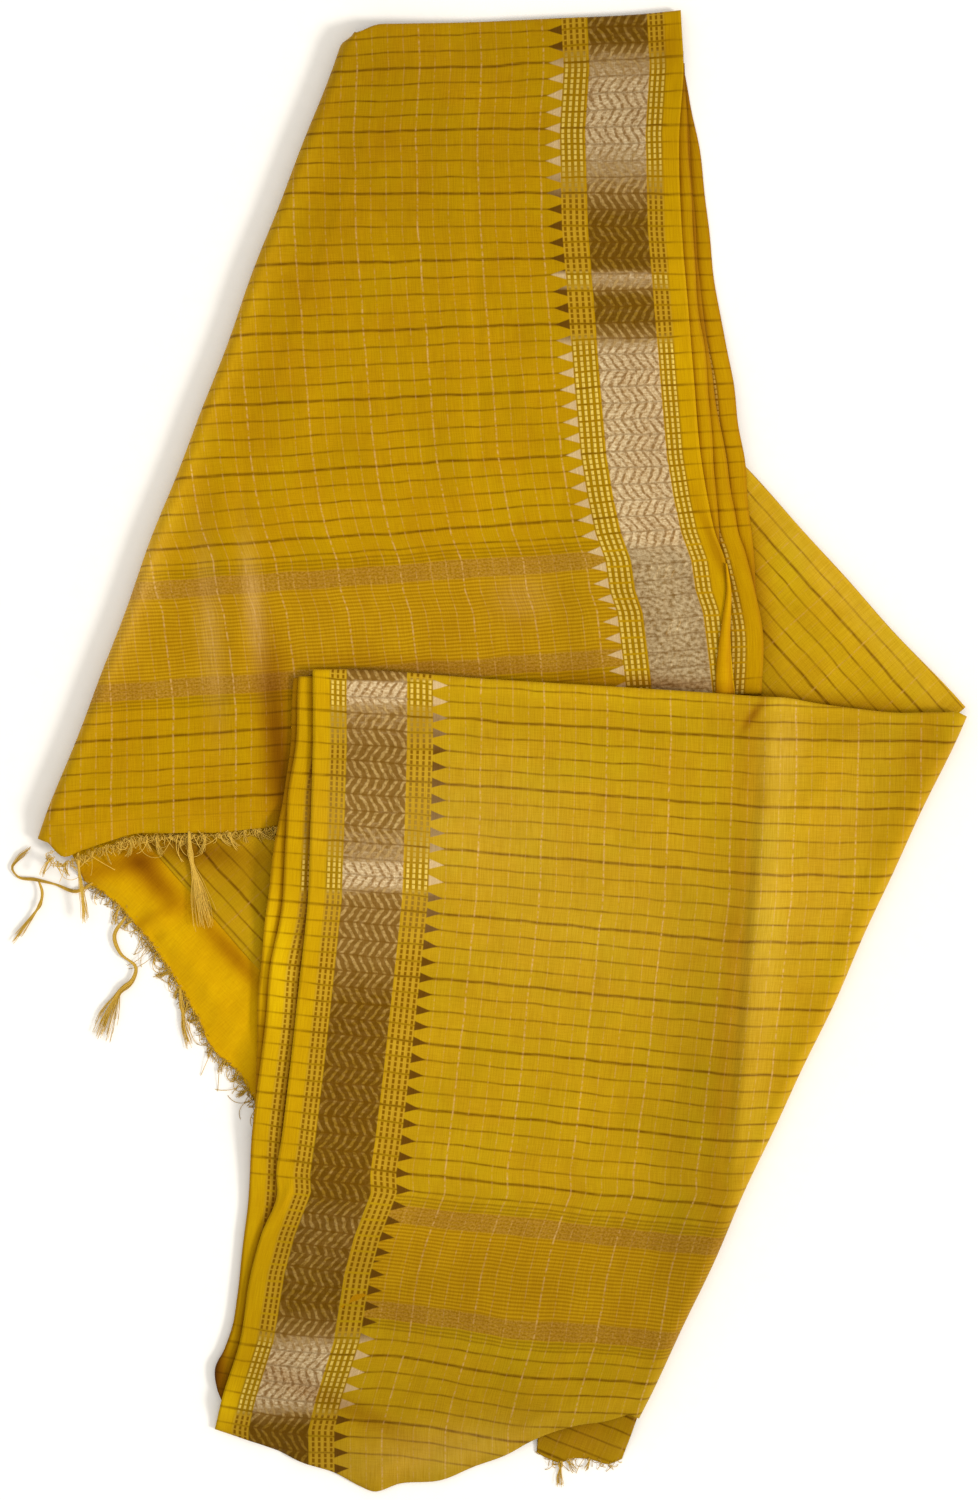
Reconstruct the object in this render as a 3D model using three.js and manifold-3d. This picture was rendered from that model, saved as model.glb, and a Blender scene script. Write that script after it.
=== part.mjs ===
// A cotton-silk saree, cross-folded into a flat pile and then folded twice on slanting lines,
// so that it lies in a flat zigzag. Millimetres, +Z up, +X along the weft of the upper stretch.
// The origin is on the flat underside, near the middle of the zigzag.
import * as THREE from "three";
import { mergeVertices } from "three/addons/utils/BufferGeometryUtils.js";
import Module from "manifold-3d";

const wasm = await Module();
wasm.setup();

// Driving dimensions of the pile
const PILE = 6.2; // twelve plies of cloth with the air between them
const PLY = 1; // wall of one shown stretch
const GAP = 0.4; // clearance between solids that lie on each other
const SETTLE = 70; // how far a stretch takes to sink from a pile to what lies below
const FOLD_REACH = 7; // half thickness of a slanting fold, seen from above
const LIP_REACH = 2.6; // half thickness of the first plies at a straight fold
const LIP_HALF_HEIGHT = 2;
const FLOOR_CLEAR = 0.2;
const END_DROOP = 4.3; // how far a fringed end sinks towards what it lies on
const DROOP_SPAN = 18;
const UPPER_PLY_STEP = 1.5; // each fanned ply lies this much lower than the one above it
const LOWER_PLY_STEP = 2.1;
const PLY_TUCK = 18; // how far a fanned ply goes in below its panel
const PLAIN_END_EDGE = 1.6; // height of the plain end at its fringed edge
const TAIL_EDGE = 1.3;
const CURL_WIDTH = { top: 2.5, foot: 9 }; // curled selvedge
const SEAM = 0.3; // between a wall's end and the strip that its tassels hang from
const STRIP = 2.2;
const STRAND_RADIUS = { root: 0.55, swell: 0.75 };
const RIDGE_PITCH = 2; // height of one visible layer at the pile's edges
const RIDGE_DEPTH = 0.9;
const CORNER_ROUND = 14;
const PILE_SIDES = 44;
const CUTTER_HEIGHT = 40;

// Driving points in plan, taken from the zigzag's outline
const TOP_CORNER = { x: -85, y: 431 };
const RIGHT_CORNER = { x: 287, y: 24.5 };
const BOTTOM_CORNER = { x: 84, y: -413 };
const LEFT_CORNER = { x: -269, y: -52.5 };
const UPPER_PILE_RIGHT = 163;
const UPPER_PILE_END = -50;
const LOWER_LEFT = -120;
const LOWER_TOP = 50;

// Edges of the shown stretches, each a row of plan points from its first end to its last
const EDGES = {
  upperTop: [
    { x: -77, y: 424 },
    { x: -62, y: 431.5 },
    { x: -22, y: 432.5 },
    { x: 38, y: 435 },
    { x: 96, y: 438 },
    { x: 115, y: 440 },
  ],
  upperSelvedge: [
    { x: 148, y: 25 },
    { x: 144.5, y: 60 },
    { x: 143, y: 90 },
    { x: 139.5, y: 114 },
    { x: 130, y: 151 },
    { x: 122.5, y: 221 },
    { x: 118.5, y: 267 },
    { x: 115.5, y: 310 },
    { x: 114, y: 369 },
    { x: 116, y: 408 },
    { x: 115, y: 440 },
  ],
  upperPly2: [
    { x: 144.5, y: 37 },
    { x: 140, y: 114 },
    { x: 134.5, y: 170 },
    { x: 129, y: 240 },
    { x: 122.5, y: 310 },
    { x: 119, y: 369 },
    { x: 116, y: 420 },
  ],
  upperPly3: [
    { x: 163.5, y: 44.5 },
    { x: 164, y: 68 },
    { x: 160, y: 88 },
    { x: 153, y: 119 },
    { x: 147, y: 143 },
    { x: 139, y: 191 },
    { x: 131.5, y: 240 },
    { x: 124, y: 310 },
    { x: 116.5, y: 411 },
  ],
  upperPly4: [
    { x: 161.5, y: 50 },
    { x: 160, y: 90 },
    { x: 157, y: 130 },
    { x: 153, y: 173 },
    { x: 146, y: 222 },
    { x: 138, y: 263 },
    { x: 132, y: 310 },
    { x: 125.5, y: 364 },
    { x: 117, y: 406 },
  ],
  upperEnd: [
    { x: -263, y: -60 },
    { x: -254, y: -67 },
    { x: -243, y: -63 },
    { x: -225, y: -56 },
    { x: -210, y: -51 },
    { x: -159, y: -49.5 },
    { x: -115, y: -45 },
  ],
  lowerTop: [
    { x: -104, y: 46.5 },
    { x: -85, y: 46.5 },
    { x: 1, y: 41 },
    { x: 83, y: 36 },
    { x: 138, y: 32 },
    { x: 178, y: 31 },
    { x: 215, y: 24 },
    { x: 275, y: 19 },
  ],
  lowerSelvedge: [
    { x: -163, y: -404 },
    { x: -158.5, y: -385 },
    { x: -148, y: -351 },
    { x: -141.5, y: -311 },
    { x: -135.5, y: -288 },
    { x: -126, y: -256 },
    { x: -123, y: -231 },
    { x: -112, y: -135 },
    { x: -105.5, y: -48 },
    { x: -104, y: 4 },
    { x: -104, y: 46.5 },
  ],
  lowerBottom: [
    { x: -163, y: -404 },
    { x: -125, y: -417 },
    { x: -91, y: -430 },
    { x: -69, y: -441 },
    { x: -52, y: -437 },
    { x: -28, y: -434 },
    { x: 12, y: -418 },
    { x: 53, y: -401 },
    { x: 69, y: -398 },
    { x: 81, y: -399 },
  ],
  lowerPly2: [
    { x: -158.5, y: -388 },
    { x: -163, y: -368 },
    { x: -155, y: -350 },
    { x: -150, y: -326 },
    { x: -142, y: -253 },
    { x: -140, y: -219 },
    { x: -132, y: -154 },
    { x: -122, y: -88 },
    { x: -118, y: -24 },
    { x: -112.5, y: 44 },
  ],
  lowerPly3: [
    { x: -146, y: -305 },
    { x: -141.5, y: -266 },
    { x: -138.5, y: -194 },
    { x: -137, y: -147 },
    { x: -128.5, y: -67 },
    { x: -121, y: -24 },
    { x: -116, y: 43 },
  ],
  plainEnd: [
    { x: -240, y: -79 },
    { x: -214, y: -99 },
    { x: -189, y: -132 },
    { x: -173, y: -160 },
    { x: -165, y: -176 },
    { x: -148, y: -193 },
    { x: -139, y: -209 },
    { x: -128, y: -222 },
  ],
  plainTuck: [
    { x: -232, y: -52 },
    { x: -200, y: -45 },
    { x: -172, y: -68 },
    { x: -128, y: -116 },
    { x: -110, y: -136 },
  ],
  middleHem: [
    { x: -212, y: -44 },
    { x: -182, y: -78 },
    { x: -139, y: -127 },
    { x: -118, y: -147 },
  ],
  middleTuck: [
    { x: -200, y: -36 },
    { x: -150, y: -36 },
    { x: -107, y: -36 },
  ],
  cornerTuck: [
    { x: 150, y: 31 },
    { x: 178, y: 29.5 },
    { x: 215, y: 22.8 },
    { x: 250, y: 19.8 },
    { x: 274, y: 17.2 },
  ],
  tailEnd: [
    { x: 29, y: -418 },
    { x: 43, y: -423 },
    { x: 61, y: -422 },
    { x: 72, y: -425 },
    { x: 79, y: -421 },
  ],
  tailTuck: [
    { x: 33, y: -389 },
    { x: 60, y: -386 },
    { x: 80, y: -386 },
  ],
  turnedSelvedge: [
    { x: 138.5, y: 39 },
    { x: 139, y: 60 },
    { x: 140.5, y: 79 },
  ],
};

// Hidden piles, each from its corners in plan, counterclockwise, and its height
const PILES = [
  {
    height: 2 * PILE - PLY - GAP,
    corners: [
      { x: -252, y: -30 },
      { x: 120, y: -30 },
      { x: 123, y: 30 },
      { x: 112, y: 170 },
      { x: 100, y: 310 },
      { x: 93, y: 433 },
      { x: -60, y: 428 },
      { x: -87, y: 402 },
    ],
  },
  {
    height: 3 * PILE - PLY - GAP,
    corners: [
      { x: -128, y: -392 },
      { x: -70, y: -418 },
      { x: 5, y: -392 },
      { x: 30, y: -378 },
      { x: 91, y: -374 },
      { x: 268, y: 15.5 },
      { x: 178, y: 27 },
      { x: 138, y: 29.5 },
      { x: 83, y: 33 },
      { x: -78, y: 41 },
      { x: -84, y: -100 },
      { x: -98, y: -215 },
    ],
  },
  {
    height: PILE - PLY - GAP,
    corners: [
      { x: -196, y: -34 },
      { x: -102, y: -126 },
      { x: -60, y: -200 },
      { x: 100, y: -200 },
      { x: 258, y: 0 },
      { x: 268, y: 37 },
      { x: -32, y: 367 },
      { x: -110, y: 190 },
    ],
  },
  {
    height: PILE - UPPER_PLY_STEP - PLY - GAP,
    corners: [
      { x: -222, y: -60 },
      { x: -158, y: -146 },
      { x: -112, y: -202 },
      { x: -60, y: -205 },
      { x: -60, y: -40 },
      { x: -180, y: -30 },
    ],
  },
];

// Soft folds of the two upper panels: middle, direction in degrees, half length, half width, rise
const UPPER_FOLDS = [
  { x: -20, y: 250, turn: 92, length: 170, width: 16, rise: 1.1 },
  { x: -150, y: 60, turn: 96, length: 90, width: 11, rise: 1.6 },
  { x: 90, y: 345, turn: 4, length: 60, width: 26, rise: 1.6 },
  { x: 92, y: 230, turn: 2, length: 60, width: 22, rise: 1.9 },
  { x: -60, y: 160, turn: 8, length: 120, width: 30, rise: 1.2 },
  { x: 95, y: 95, turn: 112, length: 60, width: 14, rise: 1.5 },
];
const LOWER_FOLDS = [
  { x: 160, y: -95, turn: 94, length: 200, width: 10, rise: 2.2 },
  { x: -60, y: -60, turn: 6, length: 55, width: 20, rise: 1.4 },
  { x: -75, y: -170, turn: 4, length: 55, width: 20, rise: 1.5 },
  { x: 20, y: -190, turn: 12, length: 130, width: 34, rise: 1.3 },
  { x: -105, y: -290, turn: 30, length: 45, width: 14, rise: 1.8 },
  { x: 30, y: -330, turn: 8, length: 110, width: 24, rise: 1.4 },
];

// Tassels: share along the edge, heading in degrees, length, sideways curl
const UPPER_TASSELS = [
  { along: 0.04, heading: 215, length: 16, curl: 6 },
  { along: 0.16, heading: 278, length: 30, curl: 3 },
  { along: 0.27, heading: 250, length: 9, curl: 6 },
  { along: 0.37, heading: 285, length: 11, curl: -5 },
  { along: 0.47, heading: 240, length: 8, curl: 6 },
  { along: 0.56, heading: 284, length: 46, curl: 3 },
  { along: 0.65, heading: 300, length: 10, curl: -6 },
  { along: 0.75, heading: 262, length: 9, curl: 6 },
  { along: 0.86, heading: 290, length: 8, curl: 5 },
];
const PLAIN_TASSELS = [
  { along: 0.05, heading: 165, length: 38, curl: 16 },
  { along: 0.14, heading: 236, length: 14, curl: 4 },
  { along: 0.27, heading: 250, length: 56, curl: 13 },
  { along: 0.4, heading: 222, length: 9, curl: -4 },
  { along: 0.52, heading: 240, length: 12, curl: 4 },
  { along: 0.62, heading: 262, length: 26, curl: 4 },
  { along: 0.74, heading: 228, length: 9, curl: 4 },
  { along: 0.86, heading: 240, length: 10, curl: -4 },
];
const TAIL_TASSELS = [
  { along: 0.3, heading: 258, length: 18, curl: 3 },
  { along: 0.62, heading: 274, length: 9, curl: -3 },
];
// The locks of one tassel, turned from its heading, with their place on the strip and their
// share of the tassel's length
const LOCKS = [
  { turn: -7, beside: -1.9, share: 0.93 },
  { turn: 1, beside: 0, share: 1 },
  { turn: 9, beside: 1.9, share: 0.88 },
];

const COLOURS = { ground: 0xc99a0c, plain: 0xd2a80a, inner: 0xb08208, tassel: 0xc9a22a };

const smooth = (share) => THREE.MathUtils.smoothstep(share, 0, 1);
const point = ({ x, y }) => new THREE.Vector3(x, y, 0);

// An even walk along a smooth line through plan points, from share 0 to share 1.
function walk(points) {
  const line = new THREE.CatmullRomCurve3(points.map(point), false, "centripetal");
  return (share) => line.getPointAt(THREE.MathUtils.clamp(share, 0, 1));
}

// Distance of a plan point outside the line from one corner to another, positive on its left.
function outside(from, to, x, y) {
  const length = Math.hypot(to.x - from.x, to.y - from.y);
  return ((to.x - from.x) * (y - from.y) - (to.y - from.y) * (x - from.x)) / length;
}

// 1 on a pile and 0 once a cloth that runs off it has sunk, over the settling length.
const sinking = (distance) => 1 - smooth(distance / SETTLE);

// Height of the middle stretch below a plan point.
function middleHeight(x, y) {
  const pastUpper = outside(TOP_CORNER, RIGHT_CORNER, x, y);
  const pastLower = outside(BOTTOM_CORNER, LEFT_CORNER, x, y);
  return PILE * sinking(pastUpper) * sinking(pastLower);
}

// Extra height of the upper stretch where the lower one lies over it.
function upperHeight(x, y) {
  return PILE * sinking(x - UPPER_PILE_RIGHT) * sinking((UPPER_PILE_END - y) / 1.6);
}

// Sum of soft folds, each a smooth ridge that fades along and across.
function foldHeight(folds, x, y) {
  return folds.reduce((sum, fold) => {
    const turn = THREE.MathUtils.degToRad(fold.turn);
    const along = (x - fold.x) * Math.cos(turn) + (y - fold.y) * Math.sin(turn);
    const across = (y - fold.y) * Math.cos(turn) - (x - fold.x) * Math.sin(turn);
    return sum + fold.rise * Math.exp(-((along / fold.length) ** 2) - (across / fold.width) ** 2);
  }, 0);
}

// A patch between four edges: opposite edges blended, less what the corners count twice.
function patch(bottom, top, left, right) {
  return (u, v) => {
    const rows = bottom(u).multiplyScalar(1 - v).add(top(u).multiplyScalar(v));
    const columns = left(v).multiplyScalar(1 - u).add(right(v).multiplyScalar(u));
    const corners = bottom(0)
      .multiplyScalar((1 - u) * (1 - v))
      .add(bottom(1).multiplyScalar(u * (1 - v)))
      .add(top(0).multiplyScalar((1 - u) * v))
      .add(top(1).multiplyScalar(u * v));
    return rows.add(columns).sub(corners);
  };
}

// A closed wall from a grid of outer and inner points. Cells that keep() refuses are left out.
function wallGeometry(columns, rows, pointsAt, keep = () => true) {
  const positions = [];
  const faces = [];
  const indexOf = (i, j, inner) => 2 * (j * (columns + 1) + i) + (inner ? 1 : 0);
  for (let j = 0; j <= rows; j++)
    for (let i = 0; i <= columns; i++) {
      const { outer, inner } = pointsAt(i, j);
      positions.push(outer.x, outer.y, outer.z, inner.x, inner.y, inner.z);
    }
  const has = (i, j) => i >= 0 && j >= 0 && i < columns && j < rows && keep(i, j);
  const quad = (a, b, c, d) => faces.push(a, b, c, a, c, d);
  const rim = (i, j, k, l) =>
    quad(indexOf(i, j, false), indexOf(i, j, true), indexOf(k, l, true), indexOf(k, l, false));
  for (let j = 0; j < rows; j++)
    for (let i = 0; i < columns; i++) {
      if (!has(i, j)) continue;
      const corners = [[i, j], [i + 1, j], [i + 1, j + 1], [i, j + 1]];
      quad(...corners.map(([k, l]) => indexOf(k, l, false)));
      quad(...corners.map(([k, l]) => indexOf(k, l, true)).reverse());
      if (!has(i, j - 1)) rim(i, j, i + 1, j);
      if (!has(i + 1, j)) rim(i + 1, j, i + 1, j + 1);
      if (!has(i, j + 1)) rim(i + 1, j + 1, i, j + 1);
      if (!has(i - 1, j)) rim(i, j + 1, i, j);
    }
  return indexed(positions, faces);
}

function indexed(positions, faces) {
  const geometry = new THREE.BufferGeometry();
  geometry.setAttribute("position", new THREE.Float32BufferAttribute(positions, 3));
  geometry.setIndex(faces);
  return geometry;
}

// One stretch of cloth. Its flat part is plan(u, v) at top(x, y, u, v), and an edge with a roll
// turns down round half an ellipse of the roll's reach and half height.
function stretch({ columns, rows, plan, top, rolls = {}, keep = () => true }) {
  const { left, right, upper } = rolls;
  const before = left ? left.steps : 0;
  const after = right ? right.steps : 0;
  const past = upper ? upper.steps : 0;
  const pointsAt = (i, j) => {
    const column = THREE.MathUtils.clamp(i - before, 0, columns);
    const row = Math.min(j, rows);
    const flat = plan(column / columns, row / rows);
    const z = top(flat.x, flat.y, column / columns, row / rows);
    const turned = [
      [left, before - i],
      [right, i - before - columns],
      [upper, j - rows],
    ].find(([roll, step]) => roll && step > 0);
    if (!turned)
      return { outer: flat.clone().setZ(z), inner: flat.clone().setZ(z - PLY) };
    const [roll, step] = turned;
    const angle = (THREE.MathUtils.degToRad(roll.sweep) * step) / roll.steps;
    const half = roll.half(z);
    const on = (reach, height) =>
      new THREE.Vector3(
        flat.x + roll.out.x * reach * Math.sin(angle),
        flat.y + roll.out.y * reach * Math.sin(angle),
        z - half + height * Math.cos(angle),
      );
    return {
      outer: on(roll.reach, half),
      inner: on(roll.reach - PLY, half - PLY),
    };
  };
  const inCorner = (i, j) => j >= rows && (i < before || i >= before + columns);
  return wallGeometry(before + columns + after, rows + past, pointsAt, (i, j) =>
    !inCorner(i, j) && keep(i - before, j),
  );
}

const solid = (geometry) => {
  const bare = geometry.clone();
  bare.deleteAttribute("normal");
  bare.deleteAttribute("uv");
  const merged = mergeVertices(bare, 1e-4);
  return new wasm.Manifold(
    new wasm.Mesh({
      numProp: 3,
      vertProperties: new Float32Array(merged.attributes.position.array),
      triVerts: new Uint32Array(merged.index.array),
    }),
  );
};

function geometryOf(body) {
  const { numProp, numVert, vertProperties, triVerts } = body.getMesh();
  const positions = [];
  for (let i = 0; i < numVert; i++)
    positions.push(...vertProperties.subarray(i * numProp, i * numProp + 3));
  return indexed(positions, [...triVerts]);
}

const saree = new THREE.Group();
function add(name, geometry, color) {
  const material = new THREE.MeshStandardMaterial({ color, roughness: 0.62, metalness: 0 });
  const mesh = new THREE.Mesh(geometry, material);
  mesh.name = name;
  saree.add(mesh);
}

// Rolls: a slanting fold wraps the whole height, a lip turns round a pair of plies.
const slantingFold = (out) => ({
  out,
  reach: FOLD_REACH,
  steps: 5,
  sweep: 168,
  half: (z) => (z - FLOOR_CLEAR) / 2,
});
const lip = (out) => ({
  out,
  reach: LIP_REACH,
  steps: 3,
  sweep: 115,
  half: () => LIP_HALF_HEIGHT,
});

// The straight line of a fold, moved inwards by its roll's reach.
function foldLine(from, to, outward, share0 = 0, share1 = 1, reach = FOLD_REACH) {
  const shift = point(outward).multiplyScalar(-reach);
  const start = point(from).lerp(point(to), share0).add(shift);
  const end = point(from).lerp(point(to), share1).add(shift);
  return (share) => start.clone().lerp(end, share);
}

function outwardOf(from, to) {
  const length = Math.hypot(to.x - from.x, to.y - from.y);
  return { x: -(to.y - from.y) / length, y: (to.x - from.x) / length };
}

const LEFT_OUT = outwardOf(LEFT_CORNER, TOP_CORNER);
const RIGHT_OUT = outwardOf(RIGHT_CORNER, BOTTOM_CORNER);
const UPPER_OUT = outwardOf(TOP_CORNER, RIGHT_CORNER);

// How far a fringed end has sunk at a distance from its edge.
const droop = (distance) => END_DROOP * (1 - smooth(distance / DROOP_SPAN));
// Rows are closer together towards a fringed end.
const closer = (share) => share ** 1.5;

// Upper panel: it ends at the lower panel's top edge on the right, and goes on to the fringed
// end in a narrower block on the left.
const UPPER = { columns: 18, endColumns: 7, rows: 26, endRows: 6, jointShare: 0.186 };
const UPPER_END_LENGTH = 98;
const UPPER_JOINT = { x: -107, y: 45 };

function upperPlan() {
  const leftFold = foldLine(LEFT_CORNER, TOP_CORNER, LEFT_OUT, UPPER.jointShare, 0.995);
  const endFold = foldLine(LEFT_CORNER, TOP_CORNER, LEFT_OUT, 0, UPPER.jointShare);
  const selvedge = walk(EDGES.upperSelvedge);
  const end = walk(EDGES.upperEnd);
  const turn = UPPER.endColumns / UPPER.columns;
  const joint = (u) =>
    u < turn
      ? leftFold(0).lerp(point(UPPER_JOINT), u / turn)
      : point(UPPER_JOINT).lerp(selvedge(0), (u - turn) / (1 - turn));
  const main = patch(joint, walk(EDGES.upperTop), leftFold, selvedge);
  const last = patch(
    end,
    (share) => joint(share * turn),
    endFold,
    (v) => end(1).lerp(point(UPPER_JOINT), v),
  );
  return { main, last, turn, endShare: UPPER.endRows / UPPER.rows };
}

const upperParts = upperPlan();

function upperPlanAt(u, v) {
  const { main, last, turn, endShare } = upperParts;
  if (v >= endShare) return main(u, (v - endShare) / (1 - endShare));
  return last(Math.min(u / turn, 1), closer(v / endShare));
}

function upperTop(x, y, u, v) {
  const distance = UPPER_END_LENGTH * closer(Math.min(v / upperParts.endShare, 1));
  const clearOfRims = smooth(u * 9) * smooth((1 - v) * 8) * smooth((1 - u) * 9);
  const clearOfLower = Math.max(smooth((y - LOWER_TOP) / 30), smooth((LOWER_LEFT - x) / 30));
  const folds = clearOfRims * clearOfLower * foldHeight(UPPER_FOLDS, x, y);
  return PILE + middleHeight(x, y) + folds - droop(distance);
}

// Lower panel: from its selvedge on the left to the slanting fold on the right.
const LOWER = { columns: 17, rows: 20, length: 440, foldEnd: 0.965 };

function lowerPlan() {
  const fold = foldLine(RIGHT_CORNER, BOTTOM_CORNER, RIGHT_OUT, 0.008, LOWER.foldEnd);
  const top = walk([...EDGES.lowerTop.slice(0, -1), fold(0)]);
  const bottom = walk([...EDGES.lowerBottom.slice(0, -1), fold(1)]);
  const plan = patch(bottom, top, walk(EDGES.lowerSelvedge), (v) => fold(1 - v));
  return (u, v) => plan(u, closer(v));
}

const lowerBase = (x, y) => middleHeight(x, y) + upperHeight(x, y);

function lowerTop(x, y, u, v) {
  const clearOfRims = smooth((1 - u) * 8) * smooth(u * 9) * smooth((1 - v) * 8) * smooth(v * 9);
  const folds = clearOfRims * foldHeight(LOWER_FOLDS, x, y);
  return PILE + lowerBase(x, y) + folds - droop(LOWER.length * closer(v));
}

// A ply that fans out below a panel's selvedge: a strip from its own edge to below the panel.
function fannedPly(edge, base, drop, inward) {
  const line = walk(edge);
  const depth = (u) => PLY_TUCK * (inward < 0 ? 1 - u : u);
  return stretch({
    columns: 3,
    rows: 28,
    plan: (u, v) => line(v).add(new THREE.Vector3(inward * depth(u), 0, 0)),
    top: (x, y) => base(x, y) + PILE - drop,
  });
}

// Corner of the middle stretch right of the upper panel, with the lip of its straight fold.
function middleUpper() {
  const edge = foldLine(TOP_CORNER, RIGHT_CORNER, UPPER_OUT, 0.6, 0.986, LIP_REACH);
  const tuck = walk(EDGES.cornerTuck);
  return stretch({
    columns: 9,
    rows: 9,
    plan: patch(
      tuck,
      edge,
      (v) => tuck(0).lerp(edge(0), v),
      (v) => tuck(1).lerp(edge(1), v),
    ),
    top: () => PILE,
    rolls: { upper: lip(UPPER_OUT) },
  });
}

// A flat stretch of cloth between its lower edge and the edge that it is tucked in with.
function betweenEdges(lower, upper, columns, rows, top) {
  const bottom = walk(lower);
  const tucked = walk(upper);
  const plan = patch(
    bottom,
    tucked,
    (v) => bottom(0).lerp(tucked(0), v),
    (v) => bottom(1).lerp(tucked(1), v),
  );
  return stretch({ columns, rows, plan, top });
}

// Hidden layers: a pile with rounded corners and ridged sides, from its corners in plan
function ridgedPile({ corners, height }) {
  const shape = new THREE.Path();
  const towards = (from, to) => {
    const share = Math.min(0.4, CORNER_ROUND / Math.hypot(to.x - from.x, to.y - from.y));
    return [from.x + (to.x - from.x) * share, from.y + (to.y - from.y) * share];
  };
  corners.forEach((corner, i) => {
    const before = towards(corner, corners[(i + corners.length - 1) % corners.length]);
    const after = towards(corner, corners[(i + 1) % corners.length]);
    if (i === 0) shape.moveTo(...before);
    else shape.lineTo(...before);
    shape.quadraticCurveTo(corner.x, corner.y, ...after);
  });
  shape.closePath();
  const outline = shape.getSpacedPoints(PILE_SIDES).slice(0, PILE_SIDES);
  const layers = Math.round(height / RIDGE_PITCH);
  const levels = [];
  for (let k = 0; k <= 2 * layers; k++)
    levels.push({ z: (height * k) / (2 * layers), inset: k % 2 ? 0 : RIDGE_DEPTH });
  const middle = new THREE.Vector2();
  outline.forEach((p) => middle.addScaledVector(p, 1 / PILE_SIDES));
  const positions = [middle.x, middle.y, 0, middle.x, middle.y, height];
  const faces = [];
  const at = (k, i) => 2 + k * PILE_SIDES + (i % PILE_SIDES);
  levels.forEach(({ z, inset }) =>
    outline.forEach((p, i) => {
      const ahead = outline[(i + 1) % PILE_SIDES];
      const behind = outline[(i + PILE_SIDES - 1) % PILE_SIDES];
      const side = ahead.clone().sub(behind).normalize();
      positions.push(p.x - side.y * inset, p.y + side.x * inset, z);
    }),
  );
  const last = levels.length - 1;
  for (let i = 0; i < PILE_SIDES; i++) {
    faces.push(0, at(0, i + 1), at(0, i));
    faces.push(1, at(last, i), at(last, i + 1));
    for (let k = 0; k < last; k++) {
      faces.push(at(k, i), at(k, i + 1), at(k + 1, i + 1));
      faces.push(at(k, i), at(k + 1, i + 1), at(k + 1, i));
    }
  }
  return solid(indexed(positions, faces));
}

// Everything above a panel's underside, less the clearance, as a body to cut the piles with.
function above({ columns, rows, plan, top, keep }) {
  const pointsAt = (i, j) => {
    const flat = plan(i / columns, j / rows);
    const z = top(flat.x, flat.y, i / columns, j / rows) - PLY - GAP;
    return { outer: flat.clone().setZ(z + CUTTER_HEIGHT), inner: flat.clone().setZ(z) };
  };
  return solid(wallGeometry(columns, rows, pointsAt, keep));
}

// One lock of a tassel: a curved four-sided strand that swells below its root and tapers.
function strand({ root, heading, length, curl, rest }) {
  const steps = 4;
  const turn = THREE.MathUtils.degToRad(heading);
  const rings = [];
  for (let k = 0; k <= steps; k++) {
    const share = k / steps;
    const along = share * length;
    const side = curl * share ** 2;
    const x = root.x + Math.cos(turn) * along - Math.sin(turn) * side;
    const y = root.y + Math.sin(turn) * along + Math.cos(turn) * side;
    const swell = Math.sin(Math.PI * Math.min(share * 1.5 + 0.1, 1)) * (1 - share);
    const radius = STRAND_RADIUS.root + STRAND_RADIUS.swell * swell;
    const settled = rest(x, y) + radius + GAP;
    const z = THREE.MathUtils.lerp(root.z, settled, smooth(share * 2.2));
    rings.push({ centre: new THREE.Vector3(x, y, z), radius });
  }
  const positions = [];
  rings.forEach(({ centre, radius }, k) => {
    const ahead = rings[Math.min(k + 1, steps)].centre;
    const behind = rings[Math.max(k - 1, 0)].centre;
    const tangent = ahead.clone().sub(behind).setZ(0).normalize();
    const across = new THREE.Vector3(tangent.y, -tangent.x, 0).multiplyScalar(radius);
    const up = new THREE.Vector3(0, 0, radius);
    [across, up, across.clone().negate(), up.clone().negate()].forEach((offset) =>
      positions.push(...centre.clone().add(offset).toArray()),
    );
  });
  const faces = [0, 1, 2, 0, 2, 3];
  const last = steps * 4;
  faces.push(last, last + 2, last + 1, last, last + 3, last + 2);
  for (let k = 0; k < steps; k++)
    for (let i = 0; i < 4; i++) {
      const a = 4 * k + i;
      const b = 4 * k + ((i + 1) % 4);
      faces.push(a, a + 4, b + 4, a, b + 4, b);
    }
  return solid(indexed(positions, faces));
}

// A row of tassels on a narrow strip that lies just outside a fringed end.
function fringe({ edge, outward, steps, topAt, tassels, rest }) {
  const line = walk(edge);
  const out = point(outward).normalize();
  const stripPoints = (i, j) => {
    const p = line(i / steps);
    const z = topAt(p.x, p.y);
    p.addScaledVector(out, SEAM + (1 - j) * STRIP);
    return { outer: p.clone().setZ(z), inner: p.clone().setZ(z - PLY) };
  };
  const bodies = [solid(wallGeometry(steps, 1, stripPoints))];
  tassels.forEach(({ along, heading, length, curl }) => {
    const step = Math.floor(along * steps);
    const root = line(step / steps).lerp(line((step + 1) / steps), along * steps - step);
    root.addScaledVector(out, SEAM + STRIP * 0.6);
    root.setZ(topAt(root.x, root.y) - PLY / 2);
    LOCKS.forEach(({ turn, beside, share }) => {
      const start = root.clone().add(new THREE.Vector3(-out.y * beside, out.x * beside, 0));
      const lock = { root: start, heading: heading + turn, length: length * share, curl, rest };
      bodies.push(strand(lock));
    });
  });
  return geometryOf(wasm.Manifold.union(bodies));
}

const upperPanel = {
  columns: UPPER.columns,
  rows: UPPER.rows,
  plan: upperPlanAt,
  top: upperTop,
  keep: (i, j) => j >= UPPER.endRows || i < UPPER.endColumns,
};
const lowerPanel = { columns: LOWER.columns, rows: LOWER.rows, plan: lowerPlan(), top: lowerTop };

function hiddenLayers() {
  const piles = wasm.Manifold.union(PILES.map(ridgedPile));
  return geometryOf(piles.subtract(above(upperPanel)).subtract(above(lowerPanel)));
}

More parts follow.
